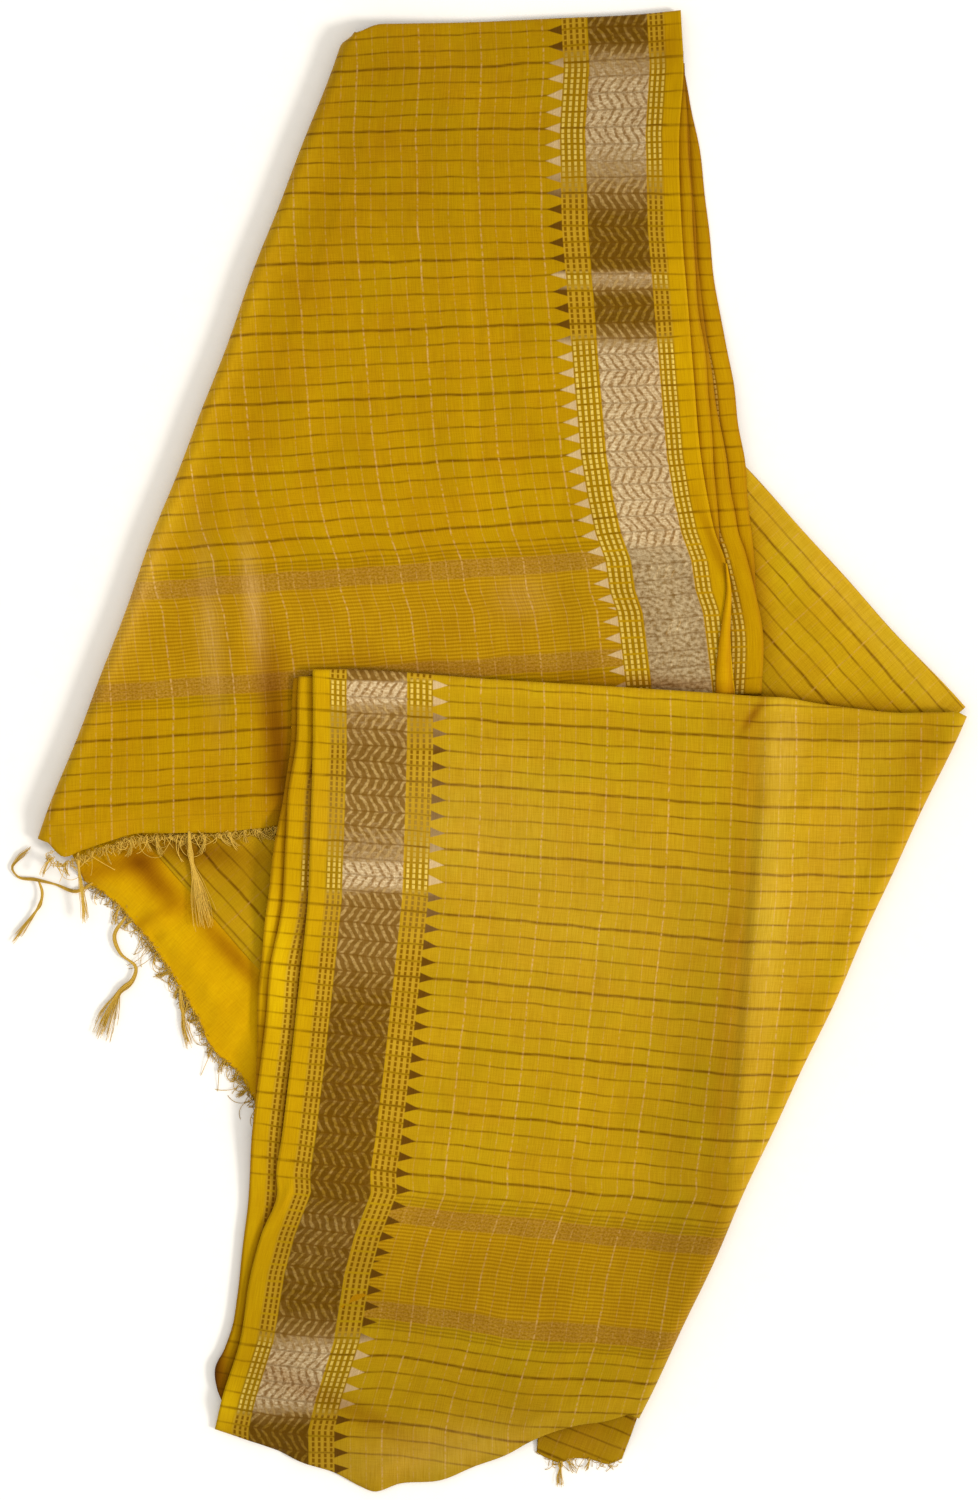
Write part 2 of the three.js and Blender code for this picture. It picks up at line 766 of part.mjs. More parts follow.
// Shown stretches of the three parts of the zigzag
const upperRolls = { left: slantingFold(LEFT_OUT), upper: lip({ x: -0.03, y: 1 }) };
const lowerRolls = { right: slantingFold(RIGHT_OUT), upper: lip({ x: 0.06, y: 1 }) };
add("upper_panel", stretch({ ...upperPanel, rolls: upperRolls }), COLOURS.ground);
add("lower_panel", stretch({ ...lowerPanel, rolls: lowerRolls }), COLOURS.ground);
add("upper_ply_2", fannedPly(EDGES.upperPly2, middleHeight, UPPER_PLY_STEP, -1), COLOURS.ground);
add("upper_ply_3", fannedPly(EDGES.upperPly3, middleHeight, 2 * UPPER_PLY_STEP, -1), COLOURS.ground);
add("upper_ply_4", fannedPly(EDGES.upperPly4, middleHeight, 3 * UPPER_PLY_STEP, -1), COLOURS.ground);
add("lower_ply_2", fannedPly(EDGES.lowerPly2, lowerBase, LOWER_PLY_STEP, 1), COLOURS.ground);
add("lower_ply_3", fannedPly(EDGES.lowerPly3, lowerBase, 2 * LOWER_PLY_STEP, 1), COLOURS.ground);
add("middle_upper", middleUpper(), COLOURS.ground);

// The plain end lies one ply below the checked one, and its edge sinks to the ground.
const plainTop = (x, y, u, v) =>
  THREE.MathUtils.lerp(PLAIN_END_EDGE, PILE - UPPER_PLY_STEP, smooth(v * 3));
// The tail follows the underside of the lower panel's end, and its edge sinks to the ground.
function tailTop(x, y, u, v) {
  const below = middleHeight(x, y) + PILE - END_DROOP - PLY - GAP;
  return THREE.MathUtils.lerp(TAIL_EDGE, below, smooth(v * 2));
}
const turnTop = () => 2 * PILE + SEAM + PLY;

// The curled selvedge: a narrow strip that widens downwards, on the upper panel.
function turned() {
  const line = walk(EDGES.turnedSelvedge);
  const width = (v) => THREE.MathUtils.lerp(CURL_WIDTH.foot, CURL_WIDTH.top, v);
  const plan = (u, v) => line(v).add(new THREE.Vector3(u * width(v), 0, 0));
  return stretch({ columns: 2, rows: 5, plan, top: turnTop });
}

add(
  "middle_lower",
  betweenEdges(EDGES.middleHem, EDGES.middleTuck, 8, 5, () => PILE),
  COLOURS.ground,
);
add("plain_end", betweenEdges(EDGES.plainEnd, EDGES.plainTuck, 10, 8, plainTop), COLOURS.plain);
add("middle_tail", betweenEdges(EDGES.tailEnd, EDGES.tailTuck, 6, 6, tailTop), COLOURS.plain);
add("selvedge_turn", turned(), COLOURS.plain);
add("hidden_layers", hiddenLayers(), COLOURS.inner);

// Fringes
const floor = () => 0;
add(
  "upper_fringe",
  fringe({
    edge: EDGES.upperEnd,
    outward: { x: 0, y: -1 },
    steps: UPPER.endColumns,
    topAt: () => 2 * PILE - END_DROOP,
    tassels: UPPER_TASSELS,
    rest: middleHeight,
  }),
  COLOURS.tassel,
);
add(
  "plain_end_fringe",
  fringe({
    edge: EDGES.plainEnd,
    outward: { x: -0.7, y: -0.7 },
    steps: 10,
    topAt: () => PLAIN_END_EDGE,
    tassels: PLAIN_TASSELS,
    rest: floor,
  }),
  COLOURS.tassel,
);
add(
  "tail_fringe",
  fringe({
    edge: EDGES.tailEnd,
    outward: { x: -0.1, y: -1 },
    steps: 6,
    topAt: () => TAIL_EDGE,
    tassels: TAIL_TASSELS,
    rest: floor,
  }),
  COLOURS.tassel,
);

export default saree;
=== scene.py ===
import math
from collections import namedtuple

import bmesh
import bpy
import numpy as np
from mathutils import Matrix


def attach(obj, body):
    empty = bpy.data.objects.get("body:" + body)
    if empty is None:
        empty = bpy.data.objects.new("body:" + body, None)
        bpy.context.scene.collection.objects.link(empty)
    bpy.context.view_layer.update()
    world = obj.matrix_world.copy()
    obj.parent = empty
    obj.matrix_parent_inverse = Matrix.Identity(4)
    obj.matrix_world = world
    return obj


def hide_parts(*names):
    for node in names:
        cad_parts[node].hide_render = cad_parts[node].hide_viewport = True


# A cotton-silk saree, cross-folded into a pile of plies and folded twice on slanting lines, so that
# it lies in a flat zigzag. Shapes are worked out in millimetres and turned to metres in the mesh.
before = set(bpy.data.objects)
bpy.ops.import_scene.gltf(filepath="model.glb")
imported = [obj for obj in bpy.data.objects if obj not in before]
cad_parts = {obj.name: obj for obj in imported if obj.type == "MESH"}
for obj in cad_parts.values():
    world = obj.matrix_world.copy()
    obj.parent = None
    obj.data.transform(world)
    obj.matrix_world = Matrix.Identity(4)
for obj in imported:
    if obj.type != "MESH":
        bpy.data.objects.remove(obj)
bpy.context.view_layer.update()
MM = 0.001

# Sizes of the folded pile
PILE = 6.2  # twelve plies with the air between them
CLOTH = 0.6  # one ply as drawn, a little over the real 0.35
UNDER = 1.9  # room that a shown stretch keeps above the hidden plies
DIP = 1.1  # how far a crease may sink into that room
SETTLE = 70  # how far a stretch takes to sink from a pile to what lies below
END_SETTLE = 1.6  # how many times that the fringed end takes
FOLD_REACH = 7
LIP_REACH = 2.6
LIP_HALF = 2.0
SIDE_SWEEP, SIDE_STEPS = 170, 14  # degrees and steps round a slanting fold
LIP_SWEEP, LIP_STEPS = 150, 7  # and round a straight one
FLOOR_CLEAR = 0.2
END_DROOP = 4.3
DROOP_SPAN = 18
UPPER_STEP = 1.5
LOWER_STEP = 2.1
FAN_PLIES = 3
FAN_PITCH = 0.62
FAN_CLOTH = 0.4
PLY_TUCK = 22
PLY_PITCH = 0.52  # one hidden ply at a pile's side
PILE_POINTS = 280
PILE_ROUND = 14
WAVES = 18  # sine waves in one field of ripples
CURL_WIDTHS = (12, 1.2)
YARN = 0.24  # half the thickness of a tassel's yarn
STRAY_YARN = 0.17
UPPER_EDGE_Z = 2 * PILE - END_DROOP
PLAIN_EDGE_Z = 1.6
TAIL_EDGE_Z = 1.3
NOWHERE = -1000  # below the whole cloth

TOP_CORNER = (-85, 431)
RIGHT_CORNER = (287, 24.5)
BOTTOM_CORNER = (84, -413)
LEFT_CORNER = (-269, -52.5)
UPPER_PILE_RIGHT = 163
UPPER_PILE_END = -50
LOWER_LEFT = -120
LOWER_TOP = 50
UPPER_JOINT = (-107, 45)
JOINT_SHARE = 0.186
UPPER_FOLD = (0.002, 0.999)  # shares of each slanting fold that show
LOWER_FOLD = (0.008, 0.965)

# Cloth patterns, in millimetres of cloth. s runs in from the selvedge, l from the fringed end.
CHECK = 9.75
BAND_FROM, BAND_TO = 20.2, 56.0
STROKE_PITCH = 5.2
INNER_DOTS = (57.0, 71.4)
OUTER_DOTS = (10.2, 19.8)
TEETH_BASE, TEETH_TIP, TEETH_HALF = 71.4, 80.2, 3.1
PALLU = (85.0, 155.0)
PALLU_EDGE = 11.0
PALLU_LINES = 6.5  # how far its thin lines go on outside it
WEFTS_FROM, WEFTS_PAST = 24.0, 174.0  # a weft line before the pallu band and one past it
UPPER_WEFT_AT = (36.9, 136.85)  # where the one past it lies in plan on each stretch
LOWER_WEFT_AT = (42.2, -260)
UPPER_END_PLAIN = 14.0
LOWER_END_PLAIN = -2.0

# Photograph: its frame on the cloth, in millimetres, and the camera that sees just that
FRAME_TALL = 892.5
FRAME_CENTRE = (0.6, 1.2)
LENS, SENSOR = 110.0, 36.0
FOCUS_HEIGHT = 10.0
KEY_PLACE = (1.6, -0.5, 1.0)
FLOOR_REACH = 6000.0

EDGES = {
    "upper_top": [
        (-78, 427.6), (-67, 430), (-50, 430.8), (-22, 431.7), (38, 434.5), (96, 437.5),
        (115, 439.5),
    ],
    "upper_selvedge": [
        (148, 25), (144.5, 60), (143.5, 90), (141, 114), (135, 130.5), (130.5, 151.5), (126.5, 176),
        (122.5, 221.5), (119, 267), (115.5, 310.5), (114, 369), (116.5, 408), (115, 439.8),
    ],
    "upper_cloth_edge": [
        (154.5, 25), (153.5, 37), (151.5, 55), (148, 83), (143.6, 96), (141, 114), (135, 130.5),
        (130.5, 151.5), (126.5, 176), (122.5, 221.5), (119, 267), (115.5, 310.5), (114, 369),
        (116.5, 408), (115, 439.8),
    ],
    "upper_ply_2": [
        (144.5, 37), (142, 78), (139, 114), (137, 137), (134.5, 170), (132.5, 197), (129, 240),
        (125, 267), (122.5, 310), (119, 369), (116.5, 418),
    ],
    "upper_ply_3": [
        (162.5, 34), (164, 68), (160.5, 88), (156, 109), (153, 119.5), (149, 130), (147, 143),
        (144.5, 157), (141.5, 176), (139, 191), (135.5, 209), (131.5, 240), (127.5, 267),
        (124, 310), (117, 411),
    ],
    "upper_ply_4": [
        (161, 34), (160, 90), (159, 109), (157, 130), (154.5, 154), (153, 173), (149, 197),
        (146, 222), (142, 244), (138, 263), (132, 310), (129, 338), (125.5, 364), (121, 386),
        (117, 406),
    ],
    "upper_end": [
        (-264, -59), (-254.5, -67), (-244, -63), (-225, -56), (-210, -51.5), (-195, -51),
        (-177.5, -50), (-159.5, -49.5), (-140, -46.5), (-115, -45),
    ],
    "lower_top": [
        (-104, 46.5), (-85, 46.5), (1, 40.8), (83, 35.8), (138, 32.2), (162.5, 30.4), (178, 29.6),
        (192, 27), (215, 23.8), (249, 20.8), (275, 18.5),
    ],
    "lower_selvedge": [
        (-163, -404), (-158.5, -385), (-148, -351.5), (-141.5, -311), (-135.5, -288.5),
        (-125.5, -262), (-126, -251), (-123, -231), (-118, -190), (-112, -135), (-107, -88),
        (-105.5, -48), (-104, 3.5), (-104, 46.5),
    ],
    "lower_bottom": [
        (-163, -404), (-146.5, -409.5), (-125, -417), (-110.5, -424), (-91.5, -430),
        (-76.5, -438), (-69, -441), (-52.5, -436.5), (-28.5, -434.5), (-8.5, -426.5),
        (12.5, -418.5), (25.5, -411), (53, -401), (69.5, -398.5), (83, -401),
    ],
    "lower_ply_2": [
        (-158.5, -388), (-162, -379), (-163, -368), (-157, -356), (-152.5, -343), (-150, -326),
        (-146, -294), (-142, -253), (-140, -219), (-135, -184), (-132, -154), (-129, -125),
        (-122, -88), (-120.5, -53), (-118.5, -24.5), (-114.5, 3.5), (-112.5, 45),
    ],
    "lower_ply_3": [
        (-146, -305), (-141.5, -266), (-139.5, -231), (-138, -194), (-137, -147), (-133.5, -110),
        (-128.5, -67), (-125, -43), (-121, -24), (-118.5, -6), (-115.8, 44),
    ],
    "plain_end": [
        (-241, -77), (-227, -86), (-214, -99), (-189, -132.5), (-173, -160), (-165, -176.5),
        (-148, -193), (-139, -209), (-128, -222),
    ],
    "plain_tuck": [(-251, -54), (-200, -45), (-172, -68), (-128, -116), (-110, -136)],
    "middle_hem": [(-212, -44), (-182.5, -78), (-160, -103), (-138.5, -127.5), (-118, -147)],
    "middle_tuck": [(-200, -36), (-150, -36), (-107, -36)],
    "corner_tuck": [(150, 31), (178, 29.5), (215, 22.8), (250, 19.8), (274, 17.2)],
    "tail_end": [
        (29, -418), (36, -422), (43, -424), (50, -421.8), (61, -422.3), (72, -425), (80, -422),
    ],
    "tail_tuck": [(31, -389), (60, -386), (92, -388)],
    "turned_selvedge": [(135, 32), (135.2, 45), (136.6, 61), (139.2, 79), (141.6, 96), (141, 112)],
}

# Hidden piles: height, and corners in plan, counterclockwise
Pile = namedtuple("Pile", "height corners")
PILES = [
    Pile(PILE - UNDER, [
        (-196, -34), (-102, -126), (-60, -200), (100, -200), (258, 0), (268, 37), (-32, 367),
        (-110, 190),
    ]),
    Pile(PILE - UPPER_STEP - UNDER, [
        (-222, -60), (-158, -146), (-112, -202), (-60, -205), (-60, -40), (-180, -30),
    ]),
    Pile(2 * PILE - UNDER, [
        (-252, -30), (120, -30), (123, 30), (112, 170), (100, 310), (93, 433), (-60, 428),
        (-87, 402),
    ]),
    Pile(3 * PILE - UNDER, [
        (-128, -392), (-70, -418), (5, -392), (30, -378), (91, -374), (268, 15.5), (178, 27),
        (138, 29.5), (83, 33), (-78, 41), (-84, -100), (-98, -215),
    ]),
]

# Soft folds: middle, direction in degrees, half length, half width, rise
Fold = namedtuple("Fold", "x y turn length width rise")
UPPER_FOLDS = [
    Fold(-20, 250, 92, 170, 16, 1.1),
    Fold(-150, 60, 96, 90, 11, 1.6),
    Fold(90, 345, 4, 60, 26, 1.6),
    Fold(92, 230, 2, 60, 22, 1.9),
    Fold(-60, 160, 8, 120, 30, 1.2),
    Fold(95, 95, 112, 60, 14, 1.5),
]
LOWER_FOLDS = [
    Fold(161, -129, 85.6, 200, 11, 2.4),
    Fold(-60, -60, 6, 55, 20, 1.4),
    Fold(-75, -170, 4, 55, 20, 1.5),
    Fold(20, -190, 12, 130, 34, 1.3),
    Fold(-105, -290, 30, 45, 14, 1.8),
    Fold(30, -330, 8, 110, 24, 1.4),
]
# Creases, sharper than the folds, pressed in when the cloth lay packed
UPPER_CREASES = [
    Fold(-6, 230, 91, 150, 3.0, -0.55),
    Fold(-96, 300, 70, 90, 4.0, 0.5),
    Fold(40, 330, 95, 70, 3.5, 0.4),
    Fold(-150, 120, 84, 70, 4.5, -0.6),
    Fold(-205, 0, 10, 50, 5.0, 0.5),
    Fold(-150, -20, 176, 60, 4.0, -0.5),
    Fold(30, 100, 4, 110, 5.0, -0.45),
    Fold(100, 395, 176, 40, 4.5, -0.8),
    Fold(96, 288, 4, 34, 4.0, 1.0),
    Fold(98, 262, 178, 34, 4.0, -0.9),
    Fold(110, 120, 118, 26, 3.5, 0.9),
    Fold(118, 100, 124, 22, 3.0, -0.8),
    Fold(104, 70, 60, 20, 3.2, 0.6),
]
LOWER_CREASES = [
    Fold(150, -129, 85.6, 170, 4.0, -1.3),
    Fold(156, -129, 85.6, 170, 3.0, 0.6),
    Fold(158, 23, 54, 12, 2.5, -1.4),
    Fold(176, 19, 139, 18, 4.0, 0.7),
    Fold(60, -20, 3, 70, 5.0, 0.35),
    Fold(-30, -120, 176, 80, 6.0, 0.5),
    Fold(60, -170, 88, 90, 4.0, -0.4),
    Fold(-60, -285, 6, 60, 5.0, 0.8),
    Fold(-118, -262, 62, 14, 2.2, 1.4),
    Fold(-114, -256, 68, 14, 2.0, -1.3),
    Fold(-96, -366, 152, 40, 7.0, 1.6),
    Fold(-88, -388, 155, 44, 5.0, -1.3),
    Fold(-70, -322, 20, 60, 5.0, -0.7),
    Fold(40, -392, 170, 60, 6.0, 0.8),
    Fold(-20, -410, 8, 50, 5.0, -0.8),
    Fold(190, -30, 60, 60, 6.0, 0.5),
    Fold(215, -90, 66, 70, 5.0, -0.5),
    Fold(-75, 32, 172, 40, 4.0, 0.8),
]
MIDDLE_CREASES = [
    Fold(215, 60, 136, 60, 5.0, 0.5),
    Fold(190, 72, 130, 40, 4.0, -0.5),
    Fold(-165, -72, 132, 40, 5.0, 0.4),
]
PLAIN_CREASES = [
    Fold(-208, -115, 30, 22, 3.5, -1.2),
    Fold(-196, -97, 34, 26, 5.0, 0.9),
    Fold(-160, -150, 128, 40, 7.0, 0.7),
    Fold(-150, -175, 60, 20, 5.0, -0.7),
    Fold(-215, -72, 160, 20, 5.0, 0.7),
]

# Where the metal threads face the light: height in plan and how bright the border is there
UPPER_SHINE = [
    (445, 0.15), (424, 0.12), (416, 0.42), (408, 0.55), (396, 0.75), (376, 0.85), (362, 0.7),
    (345, 0.5), (328, 0.3), (318, 0.12), (288, 0.08), (284, 0.62), (277, 0.45), (271, 0.1),
    (256, 0.12),
    (246, 0.4), (236, 0.85), (225, 0.95), (150, 0.92), (122, 0.85), (110, 0.62), (30, 0.6),
]
LOWER_SHINE = [
    (48, 0.25), (43, 0.3), (40, 0.95), (33, 1.0), (27, 0.45), (0, 0.3), (-40, 0.36), (-64, 0.5),
    (-69, 0.95), (-76, 0.9), (-84, 0.35), (-120, 0.3), (-148, 0.14), (-262, 0.1), (-280, 0.22),
    (-330, 0.12), (-346, 0.35), (-362, 0.9), (-384, 0.95), (-396, 0.3), (-402, 0.08),
    (-440, 0.05),
]

# Painted light and shade: how bright the cloth is drawn at each height in plan, with no change of
# hue
UPPER_DIM = [
    (450, 0.72), (394, 0.74), (358, 0.77), (322, 0.79), (287, 0.83), (251, 0.87), (180, 0.9),
    (144, 0.93), (108, 0.9), (60, 0.88), (-60, 0.9),
]
LOWER_DIM = [
    (50, 0.98), (37, 1.0), (10, 0.93), (-34, 0.97), (-70, 0.95), (-142, 0.96), (-213, 0.93),
    (-249, 0.92), (-284, 0.81), (-320, 0.74), (-356, 0.75), (-391, 0.69), (-440, 0.64),
]

# Soft patches of painted light and shade: shadows cast beside raised edges, shade in creases,
# pockets and along folds, lit slopes and pale warp threads painted catching the light, and a few
# that only brighten the cloth. Columns: middle, direction, half length, half width, how much
# brighter (redder as it darkens), how much the pale warp threads catch the light, and how much
# brighter with no change of hue
Patch = namedtuple("Patch", "x y turn length width tone glint dim", defaults=(0.0,))
UPPER_PATCHES = [
    Patch(-139, 84, 97, 34, 5, 0.05, 0.8),
    Patch(-165, 72, 95, 44, 6, 0.03, 0.45),
    Patch(-214, 86, 69, 40, 6, 0.0, 0.4),
    Patch(20, 92, 92, 12, 14, 0.0, 0.3),
    Patch(-60, 395, 84, 50, 50, -0.05, 0.0),
    Patch(-120, 240, 68, 140, 16, -0.08, 0.0),
    Patch(60, 200, 92, 120, 30, 0.05, 0.0),
    Patch(-90, -20, 10, 80, 20, -0.08, 0.0),
    Patch(-125, 4, 95, 56, 9, -0.6, 0.0),
    Patch(100, 40, 177, 46, 4, -0.4, 0.0),
    Patch(-20, 50, 177, 90, 5, -0.15, 0.0),
    Patch(108, 420, 90, 20, 8, -0.15, 0.0),
    Patch(136, 120, 112, 34, 3, -0.3, 0.0),
    Patch(52, 100, 92, 70, 16, 0.0, 0.0, -0.1),
    Patch(-214, 90, 69, 60, 14, 0.0, 0.1, 0.12),
    Patch(-172, 200, 69.2, 190, 12, 0.12, 0.05, 0.14),
]
LOWER_PATCHES = [
    Patch(165, -90, 85.6, 150, 12, 0.08, 0.16, 0.04),
    Patch(176, 0, 80, 24, 12, 0.06, 0.14),
    Patch(146, -129, 85.6, 190, 7, -0.2, 0.0),
    Patch(122, -210, 85.6, 130, 26, 0.0, 0.0, -0.22),
    Patch(200, -70, 70, 90, 22, 0.0, 0.08, 0.04),
    Patch(210, 14, 177, 70, 8, -0.04, 0.0, -0.04),
    Patch(-20, -40, 0, 70, 40, 0.05, 0.12),
    Patch(60, -100, 0, 90, 60, 0.02, 0.08),
    Patch(252, -10, 60, 50, 16, -0.14, 0.0),
    Patch(-30, -418, 8, 60, 16, 0.04, 0.3, 0.1),
    Patch(-156, -390, 75, 16, 8, 0.2, 0.0, 0.1),
    Patch(60, 34, 177, 160, 4, 0.06, 0.0),
    Patch(158, 23, 54, 12, 2.5, -0.4, 0.0),
    Patch(-90, -388, 155, 50, 6, -0.25, 0.0),
]
LOWER_FAN_PATCHES = [
    Patch(-164, -366, 96, 26, 9, -0.8, 0.0),
    Patch(-134, -100, 100, 60, 14, 0.3, 0.0, 0.1),
    Patch(-142, -180, 92, 40, 12, 0.1, 0.0),
    Patch(-146, -280, 84, 50, 8, 0.1, 0.0),
]
MIDDLE_PATCHES = [
    Patch(210, 96, 132, 100, 10, 0.08, 0.3),
    Patch(200, 27, 177, 80, 7, -0.3, 0.0),
    Patch(158, 100, 100, 60, 8, -0.3, 0.0),
    Patch(-186, -58, 175, 50, 7, -0.3, 0.0),
    Patch(-124, -110, 80, 60, 8, -0.3, 0.0),
    Patch(-178, -50, 140, 60, 18, -0.2, 0.0, -0.06),
    Patch(230, 70, 132, 120, 40, 0.06, 0.0, 0.05),
]
PLAIN_PATCHES = [
    Patch(-222, -68, 16, 46, 8, -0.35, 0.0),
    Patch(-199, -76, 130, 24, 8, -0.5, 0.0),
    Patch(-153, -120, 132, 34, 6, -0.4, 0.0),
    Patch(-130, -196, 78, 34, 9, -0.35, 0.0),
    Patch(-208, -103, 30, 20, 4, -0.2, 0.0),
    Patch(-190, -112, 40, 26, 8, 0.08, 0.0),
]

# What is painted on a stretch: how its metal threads shine by height, its light and shade by
# height, its patches, and the height below which its metal band is mottled
Look = namedtuple("Look", "shine dim patches rubbed_below")
UPPER_LOOK = Look(UPPER_SHINE, UPPER_DIM, UPPER_PATCHES, 126)
LOWER_LOOK = Look(LOWER_SHINE, LOWER_DIM, LOWER_PATCHES, NOWHERE)
LOWER_FAN_LOOK = LOWER_LOOK._replace(patches=LOWER_FAN_PATCHES)
MIDDLE_LOOK = Look([(0, 0.0)], [(0, 0.95)], MIDDLE_PATCHES, NOWHERE)


def linear(hex_colour):
    """An sRGB hex colour as linear red, green, blue and a full alpha."""
    parts = [int(hex_colour[k : k + 2], 16) / 255 for k in (1, 3, 5)]
    parts = [c / 12.92 if c <= 0.04045 else ((c + 0.055) / 1.055) ** 2.4 for c in parts]
    return (*parts, 1.0)


def smooth(share):
    """3t^2 - 2t^3 between 0 and 1, flat outside."""
    share = np.clip(share, 0, 1)
    return share * share * (3 - 2 * share)


def between_values(value, low, high, blur=6.0):
    """1 between two limits, with smooth ends, for arrays."""
    return smooth((value - low) / blur + 0.5) * smooth((high - value) / blur + 0.5)


def raised(plan, z):
    """Plan points joined with their heights."""
    return np.concatenate([plan, z[..., None]], axis=-1)


def along_length(line, shares):
    """Points at shares of the length of a dense line through plan points."""
    length = np.concatenate([[0], np.linalg.norm(np.diff(line, axis=0), axis=1).cumsum()])
    return np.stack([np.interp(shares * length[-1], length, line[:, c]) for c in (0, 1)], axis=-1)


def walk(points, shares):
    """Points at even shares of the length of a smooth line through plan points: a cubic between
    each two, whose slope at a point comes from its neighbours."""
    points = np.array(points, float)
    at = np.concatenate([[0], np.cumsum(np.linalg.norm(np.diff(points, axis=0), axis=1))])
    slope = np.gradient(points, at, axis=0)
    dense = np.linspace(0, at[-1], 40 * len(points))
    k = np.clip(np.searchsorted(at, dense, side="right") - 1, 0, len(points) - 2)
    span = (at[k + 1] - at[k])[:, None]
    t = (dense - at[k])[:, None] / span
    line = (
        (2 * t**3 - 3 * t**2 + 1) * points[k]
        + (t**3 - 2 * t**2 + t) * span * slope[k]
        + (3 * t**2 - 2 * t**3) * points[k + 1]
        + (t**3 - t**2) * span * slope[k + 1]
    )
    return along_length(line, np.clip(shares, 0, 1))


def straight(start, end, shares):
    """Points on the straight line between two plan points."""
    shares = np.asarray(shares, float)[:, None]
    return np.array(start, float) * (1 - shares) + np.array(end, float) * shares


def patch(bottom, top, left, right):
    """A Coons patch: opposite edges blended both ways, less what the corners count twice."""
    v = np.linspace(0, 1, len(left))[:, None, None]
    u = np.linspace(0, 1, len(bottom))[None, :, None]
    rows = bottom[None] * (1 - v) + top[None] * v
    columns = left[:, None] * (1 - u) + right[:, None] * u
    corners = (
        bottom[0] * (1 - u) * (1 - v)
        + bottom[-1] * u * (1 - v)
        + top[0] * (1 - u) * v
        + top[-1] * u * v
    )
    return rows + columns - corners


def outward_of(start, end):
    """The unit plan vector on the left of the way from start to end."""
    dx, dy = end[0] - start[0], end[1] - start[1]
    length = math.hypot(dx, dy)
    return np.array([-dy / length, dx / length])


def outside(start, end, x, y):
    """Distance of plan points from the line through two corners, positive on its left."""
    out = outward_of(start, end)
    return (x - start[0]) * out[0] + (y - start[1]) * out[1]


def along(start, end, x, y):
    """How far plan points lie along the way from start to end."""
    out = outward_of(start, end)
    return (x - start[0]) * out[1] - (y - start[1]) * out[0]


LEFT_OUT = outward_of(LEFT_CORNER, TOP_CORNER)
RIGHT_OUT = outward_of(RIGHT_CORNER, BOTTOM_CORNER)
UPPER_OUT = outward_of(TOP_CORNER, RIGHT_CORNER)


def sinking(distance):
    """1 on a pile, 0 once a cloth that runs off it has sunk."""
    return 1 - smooth(distance / SETTLE)


def middle_height(x, y):
    """Height of the middle stretch below plan points, which sinks past its two slanting sides."""
    return (
        PILE
        * sinking(outside(TOP_CORNER, RIGHT_CORNER, x, y))
        * sinking(outside(BOTTOM_CORNER, LEFT_CORNER, x, y))
    )


def upper_height(x, y):
    """What the upper stretch adds where the lower one lies over it."""
    past_end = (UPPER_PILE_END - y) / END_SETTLE
    return PILE * sinking(x - UPPER_PILE_RIGHT) * sinking(past_end)


def lower_base(x, y):
    """What the lower stretch lies on."""
    return middle_height(x, y) + upper_height(x, y)


def spots(rows, x, y, value="rise"):
    """Sum of soft oval hills: exp(-(along / length)^2 - (across / width)^2) times each row's
    value."""
    total = np.zeros(np.shape(x))
    for row in rows:
        turn = math.radians(row.turn)
        ahead = (x - row.x) * math.cos(turn) + (y - row.y) * math.sin(turn)
        across = (y - row.y) * math.cos(turn) - (x - row.x) * math.sin(turn)
        hill = np.exp(-((ahead / row.length) ** 2) - (across / row.width) ** 2)
        total += getattr(row, value) * hill
    return total


def ripples(x, y, seed, shortest, longest, rise):
    """Uneven small waves: a sum of plane sine waves of seeded lengths, headings and phases, whose
    strength itself swells and fades over the cloth."""
    rng = np.random.default_rng(seed)
    total = np.zeros(np.shape(x))
    for _ in range(WAVES):
        length = rng.uniform(shortest, longest)
        heading, phase, swell = rng.uniform(0, math.tau, 3)
        across = x * math.cos(heading) + y * math.sin(heading)
        ahead = y * math.cos(heading) - x * math.sin(heading)
        strength = 0.6 + 0.4 * np.sin(ahead / 37 + swell)
        total += np.sin(math.tau * across / length + phase) * strength
    return total * rise / math.sqrt(WAVES)


def droop(distance):
    """How far a cut end hangs below its stretch, at a distance from that end."""
    return END_DROOP * (1 - smooth(distance / DROOP_SPAN))


def end_flutter(run, distance):
    """A cut end doesn't lie quite flat: short waves that die away from the edge."""
    wave = np.sin(run / 6.1) + 0.7 * np.sin(run / 3.7 + 1)
    return 0.55 * wave * np.exp(-np.maximum(distance, 0) / 7)


def fold_line(start, end, out, shares, reach=FOLD_REACH):
    """A slanting fold seen from above, moved in by its roll's reach and slightly wavy."""
    run = np.asarray(shares) * math.dist(start, end)
    wave = 0.5 * np.sin(run / 29 + 1) + 0.35 * np.sin(run / 13.5) - 0.6
    return straight(start, end, shares) + out * (wave - reach)[:, None]


def roll(flat, heights, uv, out, reach, half, sweep, steps, uv_out):
    """Rows that carry a sheet's edge round a fold: half an ellipse of this reach and half height,
    with the cloth's coordinates going on by the length of the arc."""
    angle = np.radians(sweep) * np.arange(1, steps + 1)[:, None] / steps
    half = np.broadcast_to(half, heights.shape)
    xy = flat[None] + np.asarray(out) * (reach * np.sin(angle))[..., None]
    points = raised(xy, heights - half + half * np.cos(angle))
    ways = np.diff(np.concatenate([raised(flat, heights)[None], points]), axis=0)
    arcs = np.linalg.norm(ways, axis=-1).cumsum(0)
    return points, uv[None] + arcs[..., None] * np.asarray(uv_out)


def side_roll(flat, z, cloth, column, out, reach, uv_out):
    """The slanting fold at one side of a stretch, as columns: a roll that ends above the ground."""
    half = (z[:, column] - FLOOR_CLEAR) / 2
    edge = (part[:, column] for part in (flat, z, cloth))
    rolled = roll(*edge, out, reach, half, SIDE_SWEEP, SIDE_STEPS, uv_out)
    return [part.transpose(1, 0, 2) for part in rolled]


